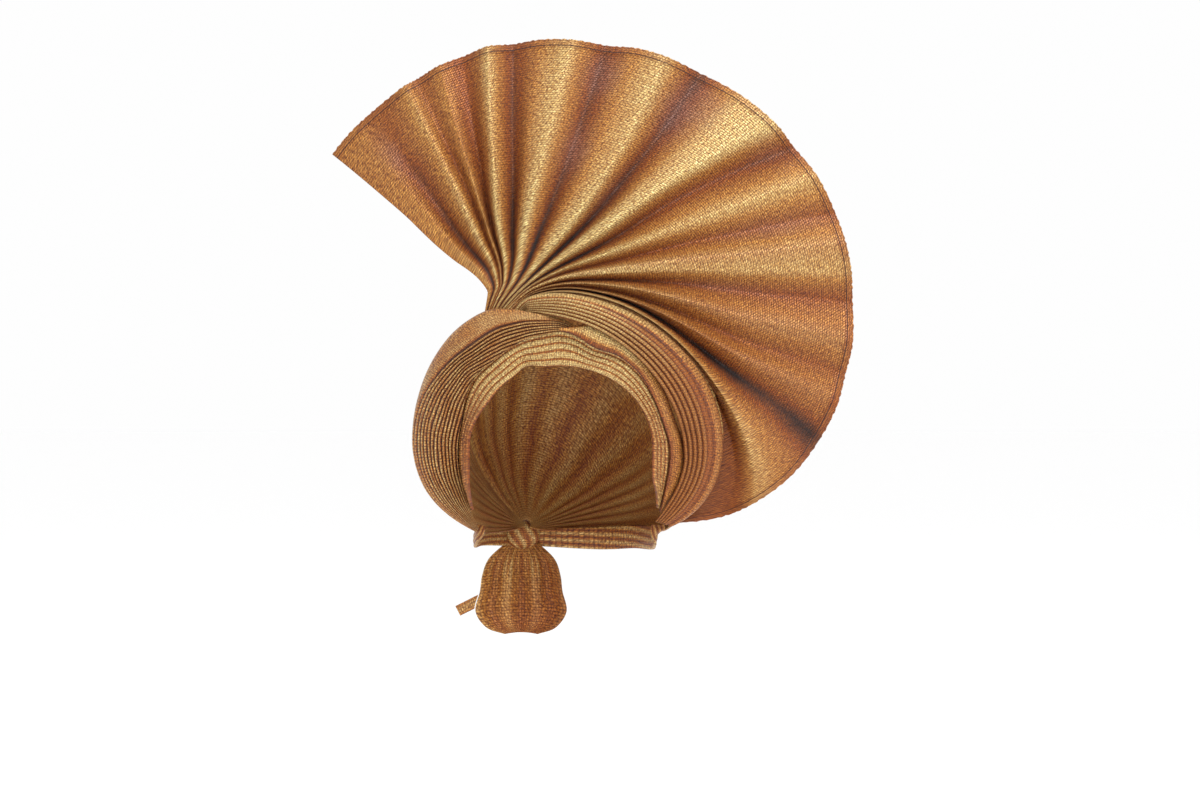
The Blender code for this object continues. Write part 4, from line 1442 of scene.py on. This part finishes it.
@dataclass(frozen=True)
class WovenFinish:
    """Stiff cloth of metallic gold thread over a brown warp, woven in short slanted dashes.

    Attributes:
        ramp: Painted shade and highlight: colours from the shade deep in a groove to the lit crest, each
            after its place.
        orange: Painted glow, a cast where light passes between layers.
        violet: Painted reflection, a violet-grey sheen where the tint is negative, as in the glossy patches.
        float_colours: Brightest and darkest of the floats.
        between_floats: Colour between them.
        between_dashes: Colour between the lit dashes.
        seam: Colour of the hem's stitches.
        seam_place: Distances from the hem's edge between which the stitches lie.
        float_length: Length of a float.
        float_height: Height of a row of floats.
        dash_length: Length of a lit dash with the gap after it.
        dash_height: Height of a lit dash with the gap over it.
        slant: Turn of the dashes from the rows.
        float_share: How much the floats show in the colour.
        dash_share: How much the dashes do.
        bump: Depth of the weave.
    """

    ramp: tuple[tuple[float, str], ...] = (
        (0.02, "#2E1204"), (0.25, "#A65C16"), (0.60, "#D89E4C"), (0.97, "#F4E09A"))
    orange: str = "#B4661C"
    violet: str = "#A08488"
    float_colours: tuple[str, str] = ("#FFFFFF", "#DCC098")
    between_floats: str = "#7A5028"
    between_dashes: str = "#8C6234"
    seam: str = "#6A4426"
    seam_place: tuple[float, float] = (3.8 * MM, 5.4 * MM)
    float_length: float = 2.2 * MM
    float_height: float = 1.7 * MM
    dash_length: float = 2.1 * MM
    dash_height: float = 1.25 * MM
    slant: float = math.radians(24)
    float_share: float = 0.75
    dash_share: float = 0.9
    bump: float = 0.4 * MM


def gold_weave(name: str, finish: WovenFinish) -> bpy.types.Material:
    """Gold-thread cloth: painted shade and highlight over the pleats, a speckled weave and a soft metal
    gloss.

    Args:
        name: Name of the material.
        finish: Its colours and weave.

    Returns:
        The material.
    """
    material = bpy.data.materials.new(name)
    material.use_nodes = True
    tree = material.node_tree
    shader = tree.nodes["Principled BSDF"]
    pleat, edge, tint = (add_node(tree, "ShaderNodeAttribute", {"attribute_name": key}).outputs["Fac"]
                         for key in ("pleat", "edge", "tint"))
    cloth = add_node(tree, "ShaderNodeUVMap", {"uv_map": "cloth"}).outputs["UV"]
    place = add_node(tree, "ShaderNodeTexCoord", {}).outputs["Object"]
    # Broad lighter and darker patches, and a fine shake that keeps the rows from lining up
    broad = add_node(tree, "ShaderNodeTexNoise", {
        "Scale": 22.0, "Detail": 3.0, "Roughness": 0.5, "Vector": place})
    fine = add_node(tree, "ShaderNodeTexNoise", {
        "Scale": 520.0, "Detail": 2.0, "Roughness": 0.6, "Vector": place})
    sway = add_node(tree, "ShaderNodeVectorMath", {
        "operation": "MULTIPLY_ADD", 0: fine.outputs["Color"], 1: (0.0026, 0.0013, 0.0), 2: cloth})
    # Dashes and floats are drawn coarser than the real rows, about 1.5 mm apart, so that they show
    slanted = add_node(tree, "ShaderNodeMapping", {
        "vector_type": "TEXTURE", "Vector": cloth, "Rotation": (0.0, 0.0, finish.slant),
        "Scale": (finish.dash_length, finish.dash_height, 1.0)})
    dashes = add_node(tree, "ShaderNodeTexNoise", {
        "Scale": 1.0, "Detail": 1.0, "Roughness": 0.5, "Vector": slanted.outputs[0]})
    lit = add_node(tree, "ShaderNodeMapRange", {
        "clamp": True, "Value": dashes.outputs["Fac"], "From Min": 0.30, "From Max": 0.66})
    speckle = add_node(tree, "ShaderNodeMix", {
        "data_type": "RGBA", 0: lit.outputs[0], 6: linear(finish.between_dashes), 7: linear("#FFFFFF")})
    floats = add_node(tree, "ShaderNodeTexBrick", {
        "offset": 0.35, "offset_frequency": 1, "squash": 1.0, "Scale": 1.0, "Vector": sway.outputs[0],
        "Color1": linear(finish.float_colours[0]), "Color2": linear(finish.float_colours[1]),
        "Mortar": linear(finish.between_floats), "Mortar Size": 0.25 * finish.float_height,
        "Mortar Smooth": 1.0, "Bias": 0.0, "Brick Width": finish.float_length,
        "Row Height": finish.float_height})
    # Painted shade and highlight: the pleat tone, evened with the broad patches, picks a colour from the
    # dark groove to the lit crest
    uneven = add_node(tree, "ShaderNodeMath", {
        "operation": "MULTIPLY_ADD", 0: broad.outputs["Fac"], 1: 0.24, 2: -0.12})
    depth = add_node(tree, "ShaderNodeMath", {
        "operation": "ADD", "use_clamp": True, 0: pleat, 1: uneven.outputs[0]})
    ramp = add_node(tree, "ShaderNodeValToRGB", {"Fac": depth.outputs[0]})
    stops = ramp.color_ramp.elements
    stops[0].position = finish.ramp[0][0]
    stops[1].position = finish.ramp[-1][0]
    for share, _ in finish.ramp[1:-1]:
        stops.new(share)
    for stop, (_, colour) in zip(stops, finish.ramp):
        stop.color = linear(colour)
    # Painted orange glow from a positive tint, and painted violet sheen from a negative one
    orange_glow, violet_sheen = (add_node(tree, "ShaderNodeMath", {
        "operation": "MULTIPLY", "use_clamp": True, 0: tint, 1: strength}) for strength in (0.8, -0.55))
    # The stitches are darkest halfway between the two distances from the edge
    seam = add_node(tree, "ShaderNodeMapRange", {
        "clamp": True, "Value": edge, "From Min": finish.seam_place[0], "From Max": finish.seam_place[1],
        "To Max": 2.0})
    stitches = add_node(tree, "ShaderNodeMath", {"operation": "PINGPONG", 0: seam.outputs[0], 1: 1.0})
    colour = ramp.outputs["Color"]
    coats = (("MIX", orange_glow.outputs[0], linear(finish.orange)),
             ("MIX", violet_sheen.outputs[0], linear(finish.violet)),
             ("MULTIPLY", finish.float_share, floats.outputs["Color"]),
             ("MULTIPLY", finish.dash_share, speckle.outputs[2]),
             ("MULTIPLY", stitches.outputs[0], linear(finish.seam)))
    for blend, share, layer in coats:
        colour = add_node(tree, "ShaderNodeMix", {
            "data_type": "RGBA", "blend_type": blend, 0: share, 6: colour, 7: layer}).outputs[2]
    bump = add_node(tree, "ShaderNodeBump", {
        "invert": True, "Strength": 0.75, "Distance": finish.bump, "Height": floats.outputs["Fac"]})
    tree.links.new(colour, shader.inputs["Base Color"])
    tree.links.new(bump.outputs["Normal"], shader.inputs["Normal"])
    shader.inputs["Metallic"].default_value = 0.25
    shader.inputs["Roughness"].default_value = 0.48
    shader.inputs["Sheen Weight"].default_value = 0.03
    shader.inputs["Sheen Roughness"].default_value = 0.4
    return material


@dataclass(frozen=True)
class Lamp:
    """A square soft light: its name, its place, the width of its face and its power in watts."""

    name: str
    place: tuple[float, float, float]
    size: float
    power: float

    def build(self, target: tuple[float, float, float]) -> None:
        """Add the light, turned to the target.

        Args:
            target: Point that it looks at.
        """
        lamp = bpy.data.lights.new(self.name, "AREA")
        lamp.size = self.size
        lamp.energy = self.power
        thing = bpy.data.objects.new(self.name, lamp)
        thing.location = self.place
        thing.rotation_euler = (Vector(target) - Vector(self.place)).to_track_quat("-Z", "Y").to_euler()
        bpy.context.scene.collection.objects.link(thing)


@dataclass(frozen=True)
class Studio:
    """Pale floor, soft lights and the camera at the photograph's angle."""

    camera_place: tuple[float, float, float] = (0.0274, -1.8, 0.0324)
    lens: float = 75.0
    sensor_width: float = 36.0
    floor_height: float = -0.36
    floor_radius: float = 30.0
    floor_roughness: float = 0.9
    sky_strength: float = 0.99
    target: tuple[float, float, float] = (0.02, 0.0, 0.08)
    lamps: tuple[Lamp, ...] = (
        Lamp("key", (1.0, -1.2, 1.4), 0.7, 33.0),
        Lamp("fill", (-1.4, -1.3, 0.2), 1.4, 4.0),
        Lamp("top", (0.1, 0.5, 1.6), 1.2, 12.0))

    def build(self) -> None:
        """Add the camera, the lights, the sky and the floor."""
        self.build_camera()
        for lamp in self.lamps:
            lamp.build(self.target)
        world = bpy.data.worlds.new("studio")
        world.use_nodes = True
        world.node_tree.nodes["Background"].inputs["Color"].default_value = linear("#FFFFFF")
        world.node_tree.nodes["Background"].inputs["Strength"].default_value = self.sky_strength
        bpy.context.scene.world = world
        bpy.context.scene.view_settings.view_transform = "Standard"
        self.build_floor()

    def build_camera(self) -> None:
        """Add the camera, level and looking along +Y."""
        camera = bpy.data.cameras.new("camera")
        camera.lens = self.lens
        camera.sensor_width = self.sensor_width
        shot = bpy.data.objects.new("camera", camera)
        shot.location = self.camera_place
        shot.rotation_euler = (math.radians(90.0), 0.0, 0.0)
        bpy.context.scene.collection.objects.link(shot)
        bpy.context.scene.camera = shot

    def build_floor(self) -> None:
        """Add the round floor."""
        bm = bmesh.new()
        bmesh.ops.create_circle(bm, cap_ends=True, segments=96, radius=self.floor_radius)
        bmesh.ops.translate(bm, verts=bm.verts, vec=(0.0, 0.0, self.floor_height))
        mesh = bpy.data.meshes.new("floor")
        bm.to_mesh(mesh)
        bm.free()
        # Gives the eye an even white ground without a gloss
        paint = bpy.data.materials.new("matt_white_floor_paint")
        paint.use_nodes = True
        coat = paint.node_tree.nodes["Principled BSDF"]
        coat.inputs["Base Color"].default_value = linear("#FFFFFF")
        coat.inputs["Roughness"].default_value = self.floor_roughness
        mesh.materials.append(paint)
        floor = bpy.data.objects.new("floor", mesh)
        bpy.context.scene.collection.objects.link(floor)


@dataclass
class Gele:
    """The whole head tie, piece by piece."""

    cloth: Cloth = field(default_factory=Cloth)
    head: HeadForm = field(default_factory=HeadForm)
    opening: Opening = field(default_factory=Opening)
    left_tie_rest: float = 1.5 * MM
    knot_fill: float = 0.8

    def build(self) -> None:
        """Build and dress every piece."""
        band = ForeheadBand(self.head, self.opening, self.cloth)
        layers = Layers(self.cloth, band.pleat)
        left = LeftWrap(band, layers)
        fan = Fan(self.cloth)
        knot = Knot(self.head, self.cloth)
        left_tie = EarTie(knot, LEFT_TIE, -1.0, self.cloth.gap + self.left_tie_rest)
        right_tie = EarTie(knot, RIGHT_TIE, 1.0, self.cloth.gap)
        tail = Tail(knot)
        plans = (
            (fan, Sheet("fan_cloth_sheet", "fan", "fan_cloth", (480, 96), (0.62, 0.25),
                        Held.GATHERED, "right_wrap", 0.09)),
            (RightWrap(fan, band, layers), Sheet(
                "right_wrap_sheet", "right_wrap", "right_wrap_cloth", (98, 110), (0.055, 0.20),
                Held.FOLDED, "tuck_fold")),
            (left, Sheet("left_wrap_sheet", "left_wrap", "left_wrap_cloth", (204, 110), (0.070, 0.23),
                         Held.FOLDED, "forehead_band")),
            (TuckFold(band, layers), Sheet(
                "tuck_fold_sheet", "tuck_fold", "tuck_cloth", (16, 120), (0.0135, 0.19),
                Held.STRETCHED, "forehead_band")),
            (band, Sheet("forehead_band_sheet", "forehead_band", "band_cloth", (60, 200), (0.022, 0.32),
                         Held.STRETCHED, "left_wrap")),
            (BackWrap(left, fan, knot), Sheet(
                "back_wrap_sheet", "back_wrap", "back_cloth", (288, 60), (0.36, 0.20),
                Held.GATHERED, "nape_knot", 0.057)),
            (left_tie, Sheet("left_ear_tie_sheet", "left_ear_tie", "left_tie_cloth", (24, 60), (0.013, 0.12),
                             Held.STRETCHED, "nape_knot")),
            (right_tie, Sheet("right_ear_tie_sheet", "right_ear_tie", "right_tie_cloth", (24, 72),
                              (0.018, 0.165), Held.STRETCHED, "nape_knot")),
            (tail, Sheet("tail_panel_sheet", "tail_panel", "tail_cloth", (60, 60), (0.07, 0.068),
                         Held.HUNG, "nape_knot")))
        # Gives the eye a dry speckle of gold dashes on brown, painted light on the crests and painted shade
        # in the grooves
        weave = gold_weave("stiff_gold_thread_weave", WovenFinish())
        for piece, sheet in plans:
            sheet.build(piece.shell, weave)
        loose_end = Sheet("tie_end_sheet", "tie_end", "end_cloth", (16, 24), (0.0100, 0.016),
                          Held.HUNG, "tail_panel")
        loose_end.build(tail.end_shell, weave)
        tied = knot.build("nape_knot_wound", weave)
        dress(tied, "nape_knot")


def main() -> None:
    """Build the head tie and its studio."""
    logging.basicConfig(level=logging.INFO)
    Gele().build()
    Studio().build()


if __name__ == "__main__":
    main()
